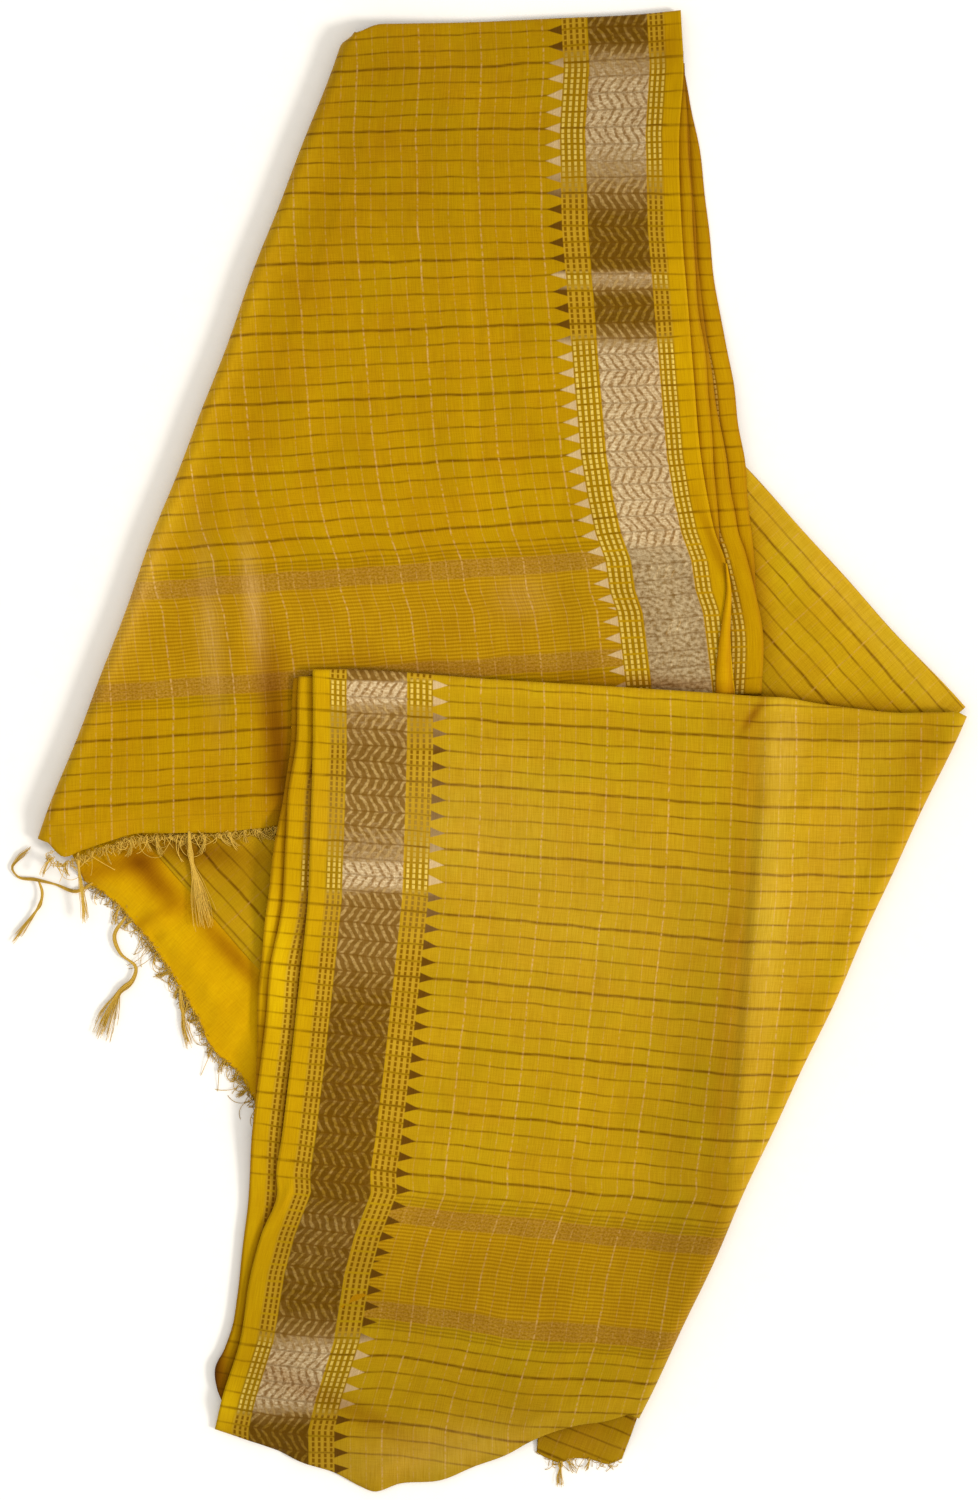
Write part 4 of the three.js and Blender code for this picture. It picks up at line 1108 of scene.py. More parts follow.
def upper_panel():
    """The outer ply of the upper stretch: a patch above the lower stretch, a narrower block down
    to its fringed end, the slanting fold on its left and the straight one at its top."""
    n, turn = UPPER["columns"], UPPER["turn"]
    main_shares = np.linspace(0, 1, UPPER["rows"] + 1)
    end_shares = np.linspace(0, 1, UPPER["end_rows"] + 1)
    main_fold, end_fold = (
        fold_line(LEFT_CORNER, TOP_CORNER, LEFT_OUT, low + (high - low) * shares)
        for low, high, shares in (
            (JOINT_SHARE, UPPER_FOLD[1], main_shares),
            (UPPER_FOLD[0], JOINT_SHARE, end_shares),
        )
    )
    end_fold[-1] = main_fold[0]
    selvedge = walk(EDGES["upper_selvedge"], main_shares)
    to_joint = straight(main_fold[0], UPPER_JOINT, np.linspace(0, 1, turn + 1))
    past_joint = straight(UPPER_JOINT, selvedge[0], np.linspace(0, 1, n - turn + 1))
    joint = np.concatenate([to_joint, past_joint[1:]])
    main = patch(joint, walk(EDGES["upper_top"], np.linspace(0, 1, n + 1)), main_fold, selvedge)
    end_edge = walk(EDGES["upper_end"], np.linspace(0, 1, turn + 1))
    end_side = straight(end_edge[-1], UPPER_JOINT, end_shares)
    block = patch(end_edge, to_joint, end_fold, end_side)
    spare = np.repeat(block[:, -1:], n - turn, axis=1)
    flat = np.concatenate([np.concatenate([block, spare], axis=1)[:-1], main])
    x, y = flat[..., 0], flat[..., 1]

    below_end = np.linalg.norm(np.gradient(block, axis=0), axis=-1).cumsum(0) - 1
    distance = np.full(x.shape, 200.0)
    distance[: len(block) - 1, : turn + 1] = np.maximum(below_end[:-1], 0)
    u = np.linspace(0, 1, n + 1)[None]
    v = np.concatenate([np.zeros(UPPER["end_rows"]), main_shares])[:, None]
    rims = smooth(u * 9) * smooth((1 - v) * 8) * smooth((1 - u) * 9)
    clear = np.maximum(smooth((y - LOWER_TOP) / 30), smooth((LOWER_LEFT - x) / 30))
    free = smooth(u * 20) * smooth((1 - v) * 20) * smooth((1 - u) * 30)
    relief = rims * clear * spots(UPPER_FOLDS, x, y) + free * clear * (
        spots(UPPER_CREASES, x, y) + ripples(x, y, 3, 14, 48, 0.22)
    )
    cloth = upper_cloth_at(x, y)
    crumpled = between_values(cloth[..., 0], 16, 60) * between_values(cloth[..., 1], 85, 160)
    relief = relief + clear * crumpled * ripples(x, y, 8, 3.5, 8, 0.3)
    relief = np.maximum(relief, -DIP) + end_flutter(x, distance)
    z = PILE + middle_height(x, y) + relief - droop(distance)

    taper = FOLD_REACH * (1 - 0.75 * smooth((v[:, 0] - 0.975) / 0.025))
    uv_out = (-LEFT_OUT[0], LEFT_OUT[1])
    side, side_uv = side_roll(flat, z, cloth, 0, LEFT_OUT, taper, uv_out)
    side, side_uv = side[:, ::-1], side_uv[:, ::-1]
    lip, lip_uv = top_roll(flat, z, cloth, (-0.03, 1), LIP_REACH * smooth(u[0] * 12 + 0.1))
    points = with_rolls(raised(flat, z), side, lip, -1)
    uv = with_rolls(cloth, side_uv, lip_uv, -1)
    rows, columns = points.shape[0] - 1, points.shape[1] - 1
    keep = np.ones((rows, columns), bool)
    keep[: UPPER["end_rows"], SIDE_STEPS + turn :] = False
    keep[rows - LIP_STEPS :, :SIDE_STEPS] = False
    look = extended(looks(x, y, UPPER_LOOK), left=SIDE_STEPS)
    return cloth_piece(
        "upper_cloth", points, uv, upper_weave, "checked_cloth", "upper_panel", look, keep
    )


# Lower stretch

LOWER = {"columns": 160, "rows": 184, "length": 440}


def lower_panel():
    """The outer ply of the lower stretch, from its selvedge on the left to the slanting fold on
    the right, with the straight fold along its top."""
    across = np.linspace(0, 1, LOWER["columns"] + 1)
    up = np.linspace(0, 1, LOWER["rows"] + 1)
    shares = LOWER_FOLD[0] + (LOWER_FOLD[1] - LOWER_FOLD[0]) * (1 - up)
    fold = fold_line(RIGHT_CORNER, BOTTOM_CORNER, RIGHT_OUT, shares)
    top = walk(EDGES["lower_top"][:-1] + [tuple(fold[-1])], across)
    bottom = walk(EDGES["lower_bottom"][:-1] + [tuple(fold[0])], across)
    flat = patch(bottom, top, walk(EDGES["lower_selvedge"], up), fold)
    x, y = flat[..., 0], flat[..., 1]
    u, v = across[None], up[:, None]
    rims = smooth((1 - u) * 8) * smooth(u * 9) * smooth((1 - v) * 8) * smooth(v * 9)
    free = smooth((1 - u) * 26) * smooth((1 - v) * 22)
    distance = LOWER["length"] * v + 0 * u
    cloth = lower_cloth_at(x, y)
    relief = rims * spots(LOWER_FOLDS, x, y) + free * (
        smooth(v * 30) * spots(LOWER_CREASES, x, y) + ripples(x, y, 5, 14, 50, 0.2)
    )
    crumpled = between_values(cloth[..., 0], 14, 60) * (1 - smooth((y + 230) / 40))
    relief = relief + free * crumpled * ripples(x, y, 9, 6, 16, 0.42)
    relief = np.maximum(relief, -DIP)
    relief = relief + 0.6 * end_flutter(x, distance) + smooth(1 - distance / 25) * 0.8
    z = PILE + lower_base(x, y) + relief - droop(distance)
    side, side_uv = side_roll(flat, z, cloth, -1, RIGHT_OUT, FOLD_REACH, tuple(RIGHT_OUT))
    reach = LIP_REACH * smooth((1 - across) * 12 + 0.1)
    lip, lip_uv = top_roll(flat, z, cloth, (0.06, 1), reach)
    points = with_rolls(raised(flat, z), side, lip, 1)
    uv = with_rolls(cloth, side_uv, lip_uv, 1)
    keep = np.ones((points.shape[0] - 1, points.shape[1] - 1), bool)
    keep[LOWER["rows"] :, LOWER["columns"] :] = False
    look = extended(looks(x, y, LOWER_LOOK), right=SIDE_STEPS)
    return cloth_piece(
        "lower_cloth", points, uv, lower_weave, "checked_cloth", "lower_panel", look, keep
    )


# Plies that fan out at the selvedges

Fan = namedtuple("Fan", "node cover base step inward cloth weave look tone")


def fanned_plies(fan, seed):
    """Three sheets that lie close on each other, each a strip in from its own wavy edge."""
    rng = np.random.default_rng(seed)
    sheets, sheet_uv, faces, look = [], [], [], {}
    rows, columns = 190, 12
    shares = np.linspace(0, 1, rows)
    run = shares * 450
    depth = np.linspace(0, PLY_TUCK, columns)
    order = depth if fan.inward > 0 else depth[::-1]
    for k in range(FAN_PLIES):
        line = walk(EDGES[fan.node], shares)
        back = 0.0
        if k:
            back = rng.uniform(0.9, 2.2) + 0.6 * np.sin(run / rng.uniform(18, 40) + k)
        line[:, 0] += fan.inward * (back + 0.25 * np.sin(run / 9 + seed))
        x = line[:, :1] + fan.inward * order[None]
        y = np.repeat(line[:, 1:], columns, axis=1)
        sag = 0.35 * smooth(1 - order / 5)[None] + 0.25 * ripples(x, y, seed + 20 + k, 25, 70, 1.0)
        z = np.maximum(fan.base(x, y) + PILE - fan.step - FAN_PITCH * k - sag, CLOTH)
        sheets.append(np.stack([x, y, z], axis=-1))
        s_and_l = fan.cloth(x, y)
        s_and_l[..., 0] = order[None] + 0.2
        sheet_uv.append(s_and_l)
        faces.append(grid_faces(rows, columns) + k * rows * columns)
        values = looks(x, y, fan.look)
        # Painted shade: each sheet darker just outside the edge of the ply that covers it, along
        # its own fold edge, the deeper it lies, and by its fan's tone
        clear_of = fan.inward * (selvedge_at(fan.cover, y) - x)
        shadow = 1 - 0.5 * np.exp(-np.maximum(clear_of, 0) / 1.5)
        hem = 1 - 0.28 * np.exp(-((order[None] - 0.3) ** 2) / 1.4)
        values["tone"] = values["tone"] * shadow * hem * (1 - 0.08 * k) * fan.tone
        for key, value in values.items():
            look.setdefault(key, []).append(value)
    points, uv, faces = np.stack(sheets), np.stack(sheet_uv), np.concatenate(faces)
    look = {key: np.stack(values) for key, values in look.items()}
    piece = build(fan.node + "_edges", points, faces, fan.weave, uv, look)
    thicken(piece, FAN_CLOTH)
    ride_and_name(piece, "checked_cloth", fan.node)
    width, length, area = cut_of(uv[:1], grid_faces(rows, columns))
    return piece, (FAN_PLIES * width, length), FAN_PLIES * area


UPPER_SIDE = (-1, upper_cloth_at, upper_weave, UPPER_LOOK)
LOWER_SIDE = (1, lower_cloth_at, lower_weave, LOWER_FAN_LOOK)
# The last value darkens the deeper fans: painted shade
FANS = [
    Fan("upper_ply_2", "upper_selvedge", middle_height, UPPER_STEP, *UPPER_SIDE, 0.97),
    Fan("upper_ply_3", "upper_ply_2", middle_height, 2 * UPPER_STEP, *UPPER_SIDE, 0.93),
    Fan("upper_ply_4", "upper_ply_3", middle_height, 3 * UPPER_STEP, *UPPER_SIDE, 0.9),
    Fan("lower_ply_2", "lower_selvedge", lower_base, LOWER_STEP, *LOWER_SIDE, 1.0),
    Fan("lower_ply_3", "lower_ply_2", lower_base, 2 * LOWER_STEP, *LOWER_SIDE, 0.9),
]


# Middle stretch


def middle_upper():
    """The corner of the middle stretch right of the upper one, with wefts along its upper edge."""
    across, up = np.linspace(0, 1, 71), np.linspace(0, 1, 61)
    edge = fold_line(TOP_CORNER, RIGHT_CORNER, UPPER_OUT, 0.6 + 0.394 * across, LIP_REACH)
    tuck = walk(EDGES["corner_tuck"], across)
    flat = patch(tuck, edge, straight(tuck[0], edge[0], up), straight(tuck[-1], edge[-1], up))
    x, y = flat[..., 0], flat[..., 1]
    in_from_edge = -outside(TOP_CORNER, RIGHT_CORNER, x, y)
    run = along(TOP_CORNER, RIGHT_CORNER, x, y)
    cloth = np.stack([200 + run, 344.6 - in_from_edge + 0.012 * run], axis=-1)
    free = smooth(up[:, None] * 8) * smooth((1 - up[:, None]) * 12)
    z = PILE + free * (spots(MIDDLE_CREASES, x, y) + ripples(x, y, 11, 12, 40, 0.18))
    lip, lip_uv = top_roll(flat, z, cloth, UPPER_OUT, LIP_REACH)
    points, uv = np.concatenate([raised(flat, z), lip]), np.concatenate([cloth, lip_uv])
    look = extended(looks(x, y, MIDDLE_LOOK))
    return cloth_piece(
        "middle_cloth_upper", points, uv, middle_weave, "checked_cloth", "middle_upper", look
    )


def between_edges(lower, upper, rows, columns):
    """A patch between a stretch's lower edge and the edge that it is tucked in with: its plan
    points, their x and y, and how far up the patch each lies, from 0 to 1."""
    across, up = np.linspace(0, 1, columns), np.linspace(0, 1, rows)
    bottom, top = walk(EDGES[lower], across), walk(EDGES[upper], across)
    flat = patch(bottom, top, straight(bottom[0], top[0], up), straight(bottom[-1], top[-1], up))
    return flat, flat[..., 0], flat[..., 1], up[:, None] + 0 * across[None]


def middle_lower():
    """The checked stretch of the middle layer at the lower left, with wefts along its hem."""
    flat, x, y, v = between_edges("middle_hem", "middle_tuck", 60, 70)
    hem = EDGES["middle_hem"][0], EDGES["middle_hem"][-1]
    from_hem = outside(*hem, x, y)
    cloth = np.stack([300 + along(*hem, x, y), 192.05 + from_hem], axis=-1)
    edge_roll = 1.1 * (1 - smooth(from_hem / 4)) ** 2
    relief = spots(MIDDLE_CREASES, x, y) + ripples(x, y, 12, 12, 40, 0.15)
    points = raised(flat, PILE - edge_roll + smooth(v * 6) * relief)
    look = looks(x, y, MIDDLE_LOOK)
    return cloth_piece(
        "middle_cloth_lower", points, cloth, middle_weave, "checked_cloth", "middle_lower", look
    )


def plain_end():
    """The plain fringed end that comes out below the checked cloth and sinks to the ground."""
    flat, x, y, v = between_edges("plain_end", "plain_tuck", 80, 120)
    z = PLAIN_EDGE_Z + (PILE - UPPER_STEP - PLAIN_EDGE_Z) * smooth(v * 3)
    z = z + smooth(v * 10) * (spots(PLAIN_CREASES, x, y) * 0.8 + ripples(x, y, 13, 10, 34, 0.2))
    z = z + 0.35 * end_flutter(x - y, v * 60)
    cloth = np.stack([(x - y) / math.sqrt(2) + 400, (x + y) / math.sqrt(2) + 300], axis=-1)
    # Painted shade: shadows along the checked hem that lies over it and below the fringed end above
    # it, and one lit spot
    look = {"tone": 1 + spots(PLAIN_PATCHES, x, y, "tone")}
    return cloth_piece(
        "plain_end_cloth", raised(flat, z), cloth, plain_weave, "plain_cloth", "plain_end", look
    )


def middle_tail():
    """The plain corner of the middle layer that shows below the lower stretch."""
    flat, x, y, v = between_edges("tail_end", "tail_tuck", 40, 60)
    below = middle_height(x, y) + PILE - END_DROOP - UNDER
    z = TAIL_EDGE_Z + (below - TAIL_EDGE_Z) * smooth(v * 2) + 0.3 * end_flutter(x, v * 30)
    tilt = math.radians(22)
    s = x * math.cos(tilt) - y * math.sin(tilt) + 300
    l = x * math.sin(tilt) + y * math.cos(tilt) + 900
    cloth = np.stack([s, l], axis=-1)
    look = looks(x, y, MIDDLE_LOOK)
    # Painted shade: the flap drawn darker, most towards its tucked side and least at its right
    look["tone"] = 0.86 + 0.06 * smooth((x - 50) / 20) - 0.14 * smooth(v * 1.5)
    look["dim"] = look["dim"] - 0.25
    points = raised(flat, z)
    return cloth_piece(
        "middle_tail_cloth", points, cloth, middle_weave, "plain_cloth", "middle_tail", look
    )


def selvedge_turn():
    """The curled selvedge at the foot of the upper stretch: a strip that widens downwards and
    bows up across its width."""
    up, across = np.linspace(0, 1, 60)[:, None], np.linspace(0, 1, 12)[None]
    line = walk(EDGES["turned_selvedge"], up[:, 0])
    width = CURL_WIDTHS[0] + (CURL_WIDTHS[1] - CURL_WIDTHS[0]) * up**0.85
    x = line[:, :1] + across * width
    y = np.repeat(line[:, 1:], across.size, axis=1)
    bow = np.sin(math.pi * across)
    z = 2 * PILE + 0.9 + bow * (0.5 + 0.8 * (1 - up))
    uv = np.stack([x + 200, y + 200], axis=-1)
    # Painted shade: darker at both sides of the bow and at the strip's wide foot
    look = {"tone": 0.66 + 0.26 * bow - 0.25 * smooth(1 - up * 6)}
    points = np.stack([x, y, z], axis=-1)
    return cloth_piece(
        "selvedge_curl", points, uv, plain_weave, "plain_cloth", "selvedge_turn", look
    )


# Hidden plies


def rounded_outline(corners, count):
    """Points spaced evenly round a polygon whose corners are rounded by quadratic arcs that start
    14 mm before each corner and end 14 mm past it."""
    corners = np.array(corners, float)[:, None]
    ahead, behind = (np.roll(corners, way, axis=0) - corners for way in (-1, 1))
    for way in (ahead, behind):
        way *= np.minimum(0.4, PILE_ROUND / np.linalg.norm(way, axis=-1, keepdims=True))
    t = np.linspace(0, 1, 9)[None, :, None]
    loop = (corners + (1 - t) ** 2 * behind + t**2 * ahead).reshape(-1, 2)
    return along_length(np.concatenate([loop, loop[:1]]), np.arange(count) / count)


def ply_pile(pile, top_of, seed):
    """A pile of plies: its outline carried up in steps, two to a ply, each ply set in by its own
    uneven amount, and closed by rings towards the middle that follow what lies above."""
    rng = np.random.default_rng(seed)
    rim = rounded_outline(pile.corners, PILE_POINTS)
    middle = rim.mean(axis=0)
    side = np.roll(rim, -1, axis=0) - np.roll(rim, 1, axis=0)
    inward = np.stack([-side[:, 1], side[:, 0]], axis=-1) / np.linalg.norm(side, axis=1)[:, None]
    run = np.arange(PILE_POINTS) / PILE_POINTS * math.tau
    plies = max(3, round(pile.height / PLY_PITCH))
    top = np.minimum(top_of(rim[:, 0], rim[:, 1]), pile.height)
    levels = []
    for k in range(plies):
        inset = rng.uniform(0.2, 1.4) + 0.5 * np.sin(run * rng.integers(2, 9) + rng.uniform(0, 6))
        inset = np.maximum(inset + 0.25 * np.sin(run * rng.integers(20, 40)), 0)
        for share, extra in ((0.04, 0.9), (0.3, 0.1), (0.7, 0.0), (0.94, 0.5)):
            xy = rim + inward * (inset + extra)[:, None]
            levels.append(raised(xy, top * (k + share) / plies))
    rings = [middle + (rim + inward * 2 - middle) * share for share in (0.97, 0.85, 0.6, 0.3, 0.0)]
    caps = [raised(xy, np.minimum(top_of(xy[:, 0], xy[:, 1]), pile.height)) for xy in rings]
    floor_rings = [raised(xy, np.zeros(PILE_POINTS)) for xy in rings[::-1]]
    return np.stack(floor_rings + levels + caps)


def hidden_piles():
    """All hidden plies in one piece, each pile just under the stretch that covers it."""
    under = PILE - UNDER
    over_middle = lambda x, y: np.full(np.shape(x), under)
    over_upper = lambda x, y: middle_height(x, y) + under
    over_lower = lambda x, y: lower_base(x, y) + under
    points, faces, start = [], [], 0
    for k, top_of in enumerate((over_middle, over_middle, over_upper, over_lower)):
        rings = ply_pile(PILES[k], top_of, 40 + k)
        index = np.arange(rings[..., 0].size).reshape(rings.shape[:2]) + start
        after = np.roll(index, -1, axis=1)
        quads = np.stack([index[:-1], after[:-1], after[1:], index[1:]], axis=-1)
        points.append(rings.reshape(-1, 3))
        faces.append(quads.reshape(-1, 4))
        start += index.size
    points, faces = np.concatenate(points), np.concatenate(faces)
    uv = np.stack([points[:, 0] + points[:, 1], points[:, 2] * 6 + points[:, 0]], axis=-1)
    look = {"tone": np.ones(len(points))}
    piece = build("hidden_plies", points, faces, inner_weave, uv, look)
    close_poles(piece)
    ride_and_name(piece, "plain_cloth", "hidden_layers")


# Fringes

Tassel = namedtuple("Tassel", "route yarns spread knot tone")
Lock = namedtuple("Lock", "along heading length curl yarns spread")


def yarns_along(route, count, spread, knot, tone, rest, rng, steps=26):
    """Yarns that follow one route: held together up to a knot, then spreading into a brush. Each
    is a tube whose middle strays from the route by its own seeded amount, with a fine curl."""
    shares = np.linspace(0, 1, steps)
    plan = walk([p[:2] for p in route], shares)
    z = np.interp(shares, np.linspace(0, 1, len(route)), [p[2] for p in route])
    forward = np.gradient(plan, axis=0)
    forward /= np.linalg.norm(forward, axis=1)[:, None] + 1e-9
    beside = np.stack([-forward[:, 1], forward[:, 0]], axis=-1)
    opened = smooth((shares - knot) / (1.05 - knot)) ** 0.8
    held = 0.45 + 0.55 * np.abs(np.sin(shares * 9)) * (shares < knot)
    tied = 1.0 if knot > 0.02 else 0.0
    pull, bulge = (tied * np.exp(-(((shares - knot) / span) ** 2)) for span in (0.05, 0.06))
    width = held * (1 - 0.3 * pull) + spread * opened
    stray = rng.normal(0, 0.5, (count, 1)).clip(-1, 1)
    lift = rng.uniform(-0.4, 1.0, (count, 1))
    curl = 0.5 * np.sin(shares * rng.uniform(5, 16, (count, 1)) + rng.uniform(0, 6, (count, 1)))
    curl = curl * (0.3 + spread * 0.08) * opened
    aside = stray * (width + 1.1 * bulge) + curl
    back = rng.uniform(0, 0.22, (count, 1)) * opened * np.linalg.norm(plan[-1] - plan[0])
    xy = plan[None] + beside[None] * aside[..., None] - forward[None] * back[..., None]
    up = z[None] + lift * (0.35 + 0.55 * bulge + 0.4 * opened)
    up = np.maximum(up, rest(xy[..., 0], xy[..., 1]) + YARN + 0.15)
    thick = np.broadcast_to(YARN * (1 - 0.5 * shares), (count, steps))
    points, faces = tubes(raised(xy, up), thick)
    shade = np.clip(tone + rng.uniform(-0.25, 0.25, (count, 1)), 0, 1.5)
    return points, faces, np.repeat(shade, steps * 4, axis=1).ravel()


def tubes(centre, thick):
    """Four-sided tubes along rows of points, closed at both ends: at each point a diamond in the
    plane of up and sideways, whose size may change along the row."""
    count, steps = centre.shape[:2]
    ahead = np.gradient(centre[..., :2], axis=1)
    ahead /= np.linalg.norm(ahead, axis=-1, keepdims=True) + 1e-9
    beside = np.stack([-ahead[..., 1], ahead[..., 0], np.zeros((count, steps))], axis=-1)
    turn = (np.arange(4) / 4 * math.tau)[:, None]
    ring = beside[:, :, None] * np.cos(turn) + np.array([0, 0, 1.0]) * np.sin(turn)
    points = centre[:, :, None] + ring * thick[..., None, None]
    index = np.arange(count * steps * 4).reshape(count, steps, 4)
    after = np.roll(index, -1, axis=2)
    sides = np.stack([index[:, :-1], after[:, :-1], after[:, 1:], index[:, 1:]], axis=-1)
    faces = [sides.reshape(-1, 4), index[:, 0, ::-1], index[:, -1]]
    return points.reshape(-1, 3), np.concatenate(faces)


def frayed(edge, count, out, length, rest, height, rng, curl, back, tone):
    """Single yarns that have worked loose along a cut end. Each starts a little inside the edge,
    and its heading turns steadily by up to this curl, so that some close into small loops."""
    steps = 12
    roots = walk(EDGES[edge], rng.uniform(0.01, 0.99, count))
    heading = math.atan2(out[1], out[0]) + rng.normal(0, 0.8, (count, 1))
    share = np.linspace(0, 1, steps)[None]
    heading = heading + rng.normal(0, curl / 2, (count, 1)) * share**1.3
    stride = rng.uniform(0.35, 1.0, (count, 1)) * length / steps
    x, y = (
        roots[:, c : c + 1] - out[c] * rng.uniform(0, back, (count, 1)) + (way * stride).cumsum(1)
        for c, way in ((0, np.cos(heading)), (1, np.sin(heading)))
    )
    z = height + rng.uniform(-0.2, 0.6, (count, 1)) - (height - rest(x, y)) * smooth(share * 0.9)
    z = np.maximum(z, rest(x, y) + 0.35)
    points, faces = tubes(np.stack([x, y, z], axis=-1), np.full((count, steps), STRAY_YARN))
    shade = np.clip(tone + rng.uniform(-0.35, 0.3, (count, 1)), 0, 1.5)
    return points, faces, np.repeat(shade, steps * 4, axis=1).ravel()


def joined(parts):
    """Points, faces and tones of several groups of yarns as one."""
    points, faces, tones = zip(*parts)
    starts = np.cumsum([0] + [len(group) for group in points[:-1]])
    faces = np.concatenate([group + start for group, start in zip(faces, starts)])
    return np.concatenate(points), faces, np.concatenate(tones)


def lock_route(edge, lock, height, rest):
    """The route of one tassel: out along its heading, bending aside with the square of its way."""
    root = walk(EDGES[edge], np.array([lock.along]))[0]
    heading = math.radians(lock.heading)
    ahead = np.array([math.cos(heading), math.sin(heading)])
    aside = np.array([-ahead[1], ahead[0]])
    route = []
    for share in (0.0, 0.15, 0.35, 0.6, 0.8, 1.0):
        at = root + ahead * (share * lock.length - 1.0) + aside * lock.curl * share**2
        settled = float(rest(at[0], at[1])) + 0.8
        route.append((*at, height + (settled - height) * float(smooth(share * 2.2))))
    return route


def fringe(name, node, edge, out, height, rest, locks, tassels, loose, tone, seed):
    """A fringed end: its tassels, its short curled locks and its loose threads."""
    rng = np.random.default_rng(seed)
    parts = []
    for lock in locks:
        route = lock_route(edge, lock, height, rest)
        parts.append(yarns_along(route, lock.yarns, lock.spread, 0.18, tone, rest, rng))
    for tassel in tassels:
        parts.append(yarns_along(*tassel, rest, rng, steps=40))
    for count, length, lift, curl, back, paler in (
        (loose, 9.0, 0.1, 5.0, 2.0, 0.0),
        (loose // 12, 24.0, 0.3, 4.0, 3.0, 0.2),
    ):
        shade = tone + paler
        parts.append(frayed(edge, count, out, length, rest, height + lift, rng, curl, back, shade))
    points, faces, tones = joined(parts)
    piece = build(name, points, faces, yarn, None, {"tone": tones})
    ride_and_name(piece, "tassel_thread", node)


UPPER_LOCKS = [
    Lock(0.04, 215, 12, 6, 10, 1.5),
    Lock(0.10, 250, 7, 5, 8, 1.5),
    Lock(0.21, 262, 8, -5, 8, 1.2),
    Lock(0.27, 250, 10, 7, 10, 1.2),
    Lock(0.33, 290, 7, -5, 8, 1.2),
    Lock(0.37, 285, 11, -6, 12, 1.6),
    Lock(0.43, 250, 8, 6, 10, 1.4),
    Lock(0.47, 240, 9, 8, 12, 1.6),
    Lock(0.52, 300, 9, 7, 12, 1.6),
    Lock(0.60, 250, 9, -7, 12, 1.6),
    Lock(0.65, 300, 10, -8, 12, 1.6),
    Lock(0.71, 280, 8, 7, 10, 1.2),
    Lock(0.75, 262, 9, 7, 10, 1.4),
    Lock(0.81, 240, 7, 5, 8, 1.2),
    Lock(0.86, 290, 9, 6, 8, 1.2),
    Lock(0.93, 270, 7, -5, 8, 1.2),
]
UPPER_TASSELS = [
    Tassel(
        [(-178, -47, 8.6), (-177.5, -55, 8.6), (-176.5, -64, 8.0), (-173, -78, 7.4),
         (-170, -92, 7.2), (-167, -106, 6.9)],
        54, 7.5, 0.25, 0.74,
    ),
    Tassel(
        [(-244, -60, 7.6), (-243.5, -70, 6.4), (-242, -80, 4.0), (-240.5, -90, 2.0),
         (-239, -102, 1.0)],
        30, 2.6, 0.12, 0.6,
    ),
]
PLAIN_LOCKS = [
    Lock(0.14, 236, 12, 4, 10, 2.0),
    Lock(0.20, 200, 8, 4, 8, 1.6),
    Lock(0.33, 230, 8, 4, 8, 1.6),
    Lock(0.40, 222, 9, -4, 10, 1.8),
    Lock(0.46, 215, 8, 5, 8, 1.6),
    Lock(0.52, 240, 12, 4, 10, 2.0),
    Lock(0.58, 215, 7, -4, 8, 1.6),
    Lock(0.68, 230, 7, 4, 8, 1.6),
    Lock(0.74, 228, 9, 4, 10, 1.6),
    Lock(0.80, 250, 7, -4, 8, 1.6),
    Lock(0.86, 240, 9, -4, 10, 1.6),
]
PLAIN_TASSELS = [
    Tassel(
        [(-236, -78, 1.8), (-245.5, -83, 1.6), (-258, -79, 1.4), (-270, -76, 1.4),
         (-281, -74, 1.3), (-284, -69, 1.3), (-281, -64.5, 1.3), (-272, -57, 1.3)],
        22, 1.6, 0.9, 0.45,
    ),
    Tassel(
        [(-268, -77, 2.6), (-266, -84, 2.4), (-267, -90, 2.0), (-272, -98, 1.4), (-278, -106, 1.2),
         (-284, -114, 1.0)],
        22, 2.2, 0.35, 0.55,
    ),
    Tassel(
        [(-216, -98, 1.8), (-223, -110, 1.8), (-219.5, -120, 1.8), (-210, -129, 1.9),
         (-212, -136, 1.9), (-220, -143.5, 1.8), (-224.5, -153, 1.5), (-228, -162, 1.3),
         (-231.5, -172, 1.1)],
        56, 6.0, 0.6, 0.5,
    ),
    Tassel(
        [(-184, -141, 1.8), (-183, -150, 1.7), (-181, -164, 1.4), (-177.5, -177, 1.1)],
        22, 2.4, 0.3, 0.5,
    ),
]
TAIL_LOCKS = [
    Lock(0.3, 258, 16, 3, 14, 2.0),
    Lock(0.38, 280, 9, 3, 8, 1.6),
    Lock(0.62, 274, 8, -3, 8, 1.4),
]


def on_floor(x, y):
    """What lies under a yarn past the cloth: the ground, at height 0."""
    return np.zeros(np.shape(x))


# Assembly

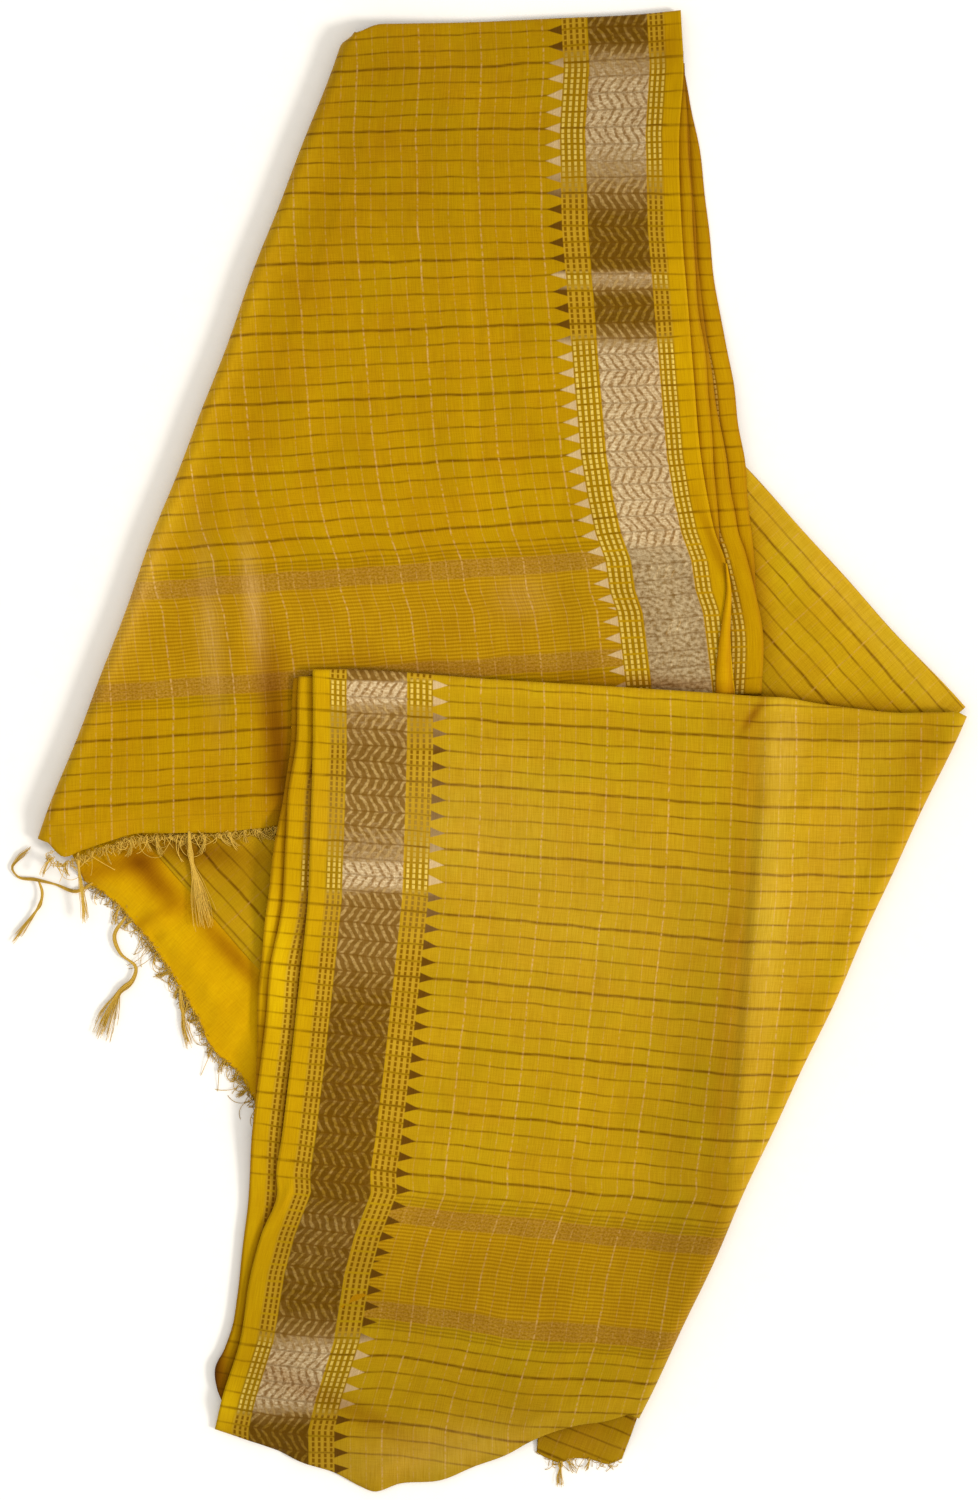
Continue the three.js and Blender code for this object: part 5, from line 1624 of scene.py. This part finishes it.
declared = [upper_panel(), lower_panel()]
declared += [fanned_plies(fan, 60 + k) for k, fan in enumerate(FANS)]
declared += [middle_upper(), middle_lower(), plain_end(), middle_tail(), selvedge_turn()]
hidden_piles()
fringe(
    "upper_tassels", "upper_fringe", "upper_end", (0, -1), UPPER_EDGE_Z, middle_height,
    UPPER_LOCKS, UPPER_TASSELS, 360, 0.6, 71,
)
fringe(
    "plain_end_tassels", "plain_end_fringe", "plain_end", (-0.7, -0.7), PLAIN_EDGE_Z, on_floor,
    PLAIN_LOCKS, PLAIN_TASSELS, 460, 0.4, 72,
)
fringe(
    "tail_tassels", "tail_fringe", "tail_end", (-0.1, -1), TAIL_EDGE_Z, on_floor,
    TAIL_LOCKS, [], 30, 0.4, 73,
)


# Stage


def floor():
    """A wide matt white board, with a grain too faint to see as more than white."""
    material, tree = new_tree("matt_white_board")
    place = add(tree, "TexCoord").outputs["Object"]
    grain = add(tree, "TexNoise", {"Vector": place, "Scale": 120.0, "Detail": 2.0})
    shades = {COLOUR_A: linear("#F4F4F2"), COLOUR_B: linear("#F8F8F7")}
    colour = add(tree, "Mix", {0: grain} | shades, data_type="RGBA")
    inputs = {"Base Color": colour, "Roughness": 0.9, "Specular IOR Level": 0.1}
    add(tree, "OutputMaterial", {"Surface": add(tree, "BsdfPrincipled", inputs)})
    corners = np.array([(-1, -1, 0), (1, -1, 0), (1, 1, 0), (-1, 1, 0)]) * FLOOR_REACH
    board = build("floor", corners, np.array([[0, 1, 2, 3]]), material)


def studio():
    """An even pale surround, and a low soft light from the right that shows up the folds."""
    world = bpy.data.worlds.new("studio")
    world.use_nodes = True
    background = world.node_tree.nodes["Background"]
    background.inputs["Color"].default_value = linear("#FFF9F0")
    background.inputs["Strength"].default_value = 0.9
    bpy.context.scene.world = world
    key = bpy.data.lights.new("key", "SUN")
    key.angle = math.radians(14)
    key.energy = 2.3
    key.color = linear("#FFFAF2")[:3]
    holder = in_scene("key", key)
    holder.location = KEY_PLACE
    away = np.array(KEY_PLACE) / np.linalg.norm(KEY_PLACE)
    holder.rotation_euler = (math.acos(away[2]), 0, math.atan2(away[1], away[0]) + math.pi / 2)


def camera():
    """Straight above, with the photograph's frame filling the tall side."""
    data = bpy.data.cameras.new("camera")
    data.type = "PERSP"
    data.lens = LENS
    data.sensor_fit = "VERTICAL"
    data.sensor_height = SENSOR
    holder = in_scene("camera", data)
    above = FRAME_TALL * LENS / SENSOR + FOCUS_HEIGHT
    holder.location = (FRAME_CENTRE[0] * MM, FRAME_CENTRE[1] * MM, above * MM)
    bpy.context.scene.camera = holder


floor()
studio()
camera()
bpy.context.scene.view_settings.view_transform = "Standard"
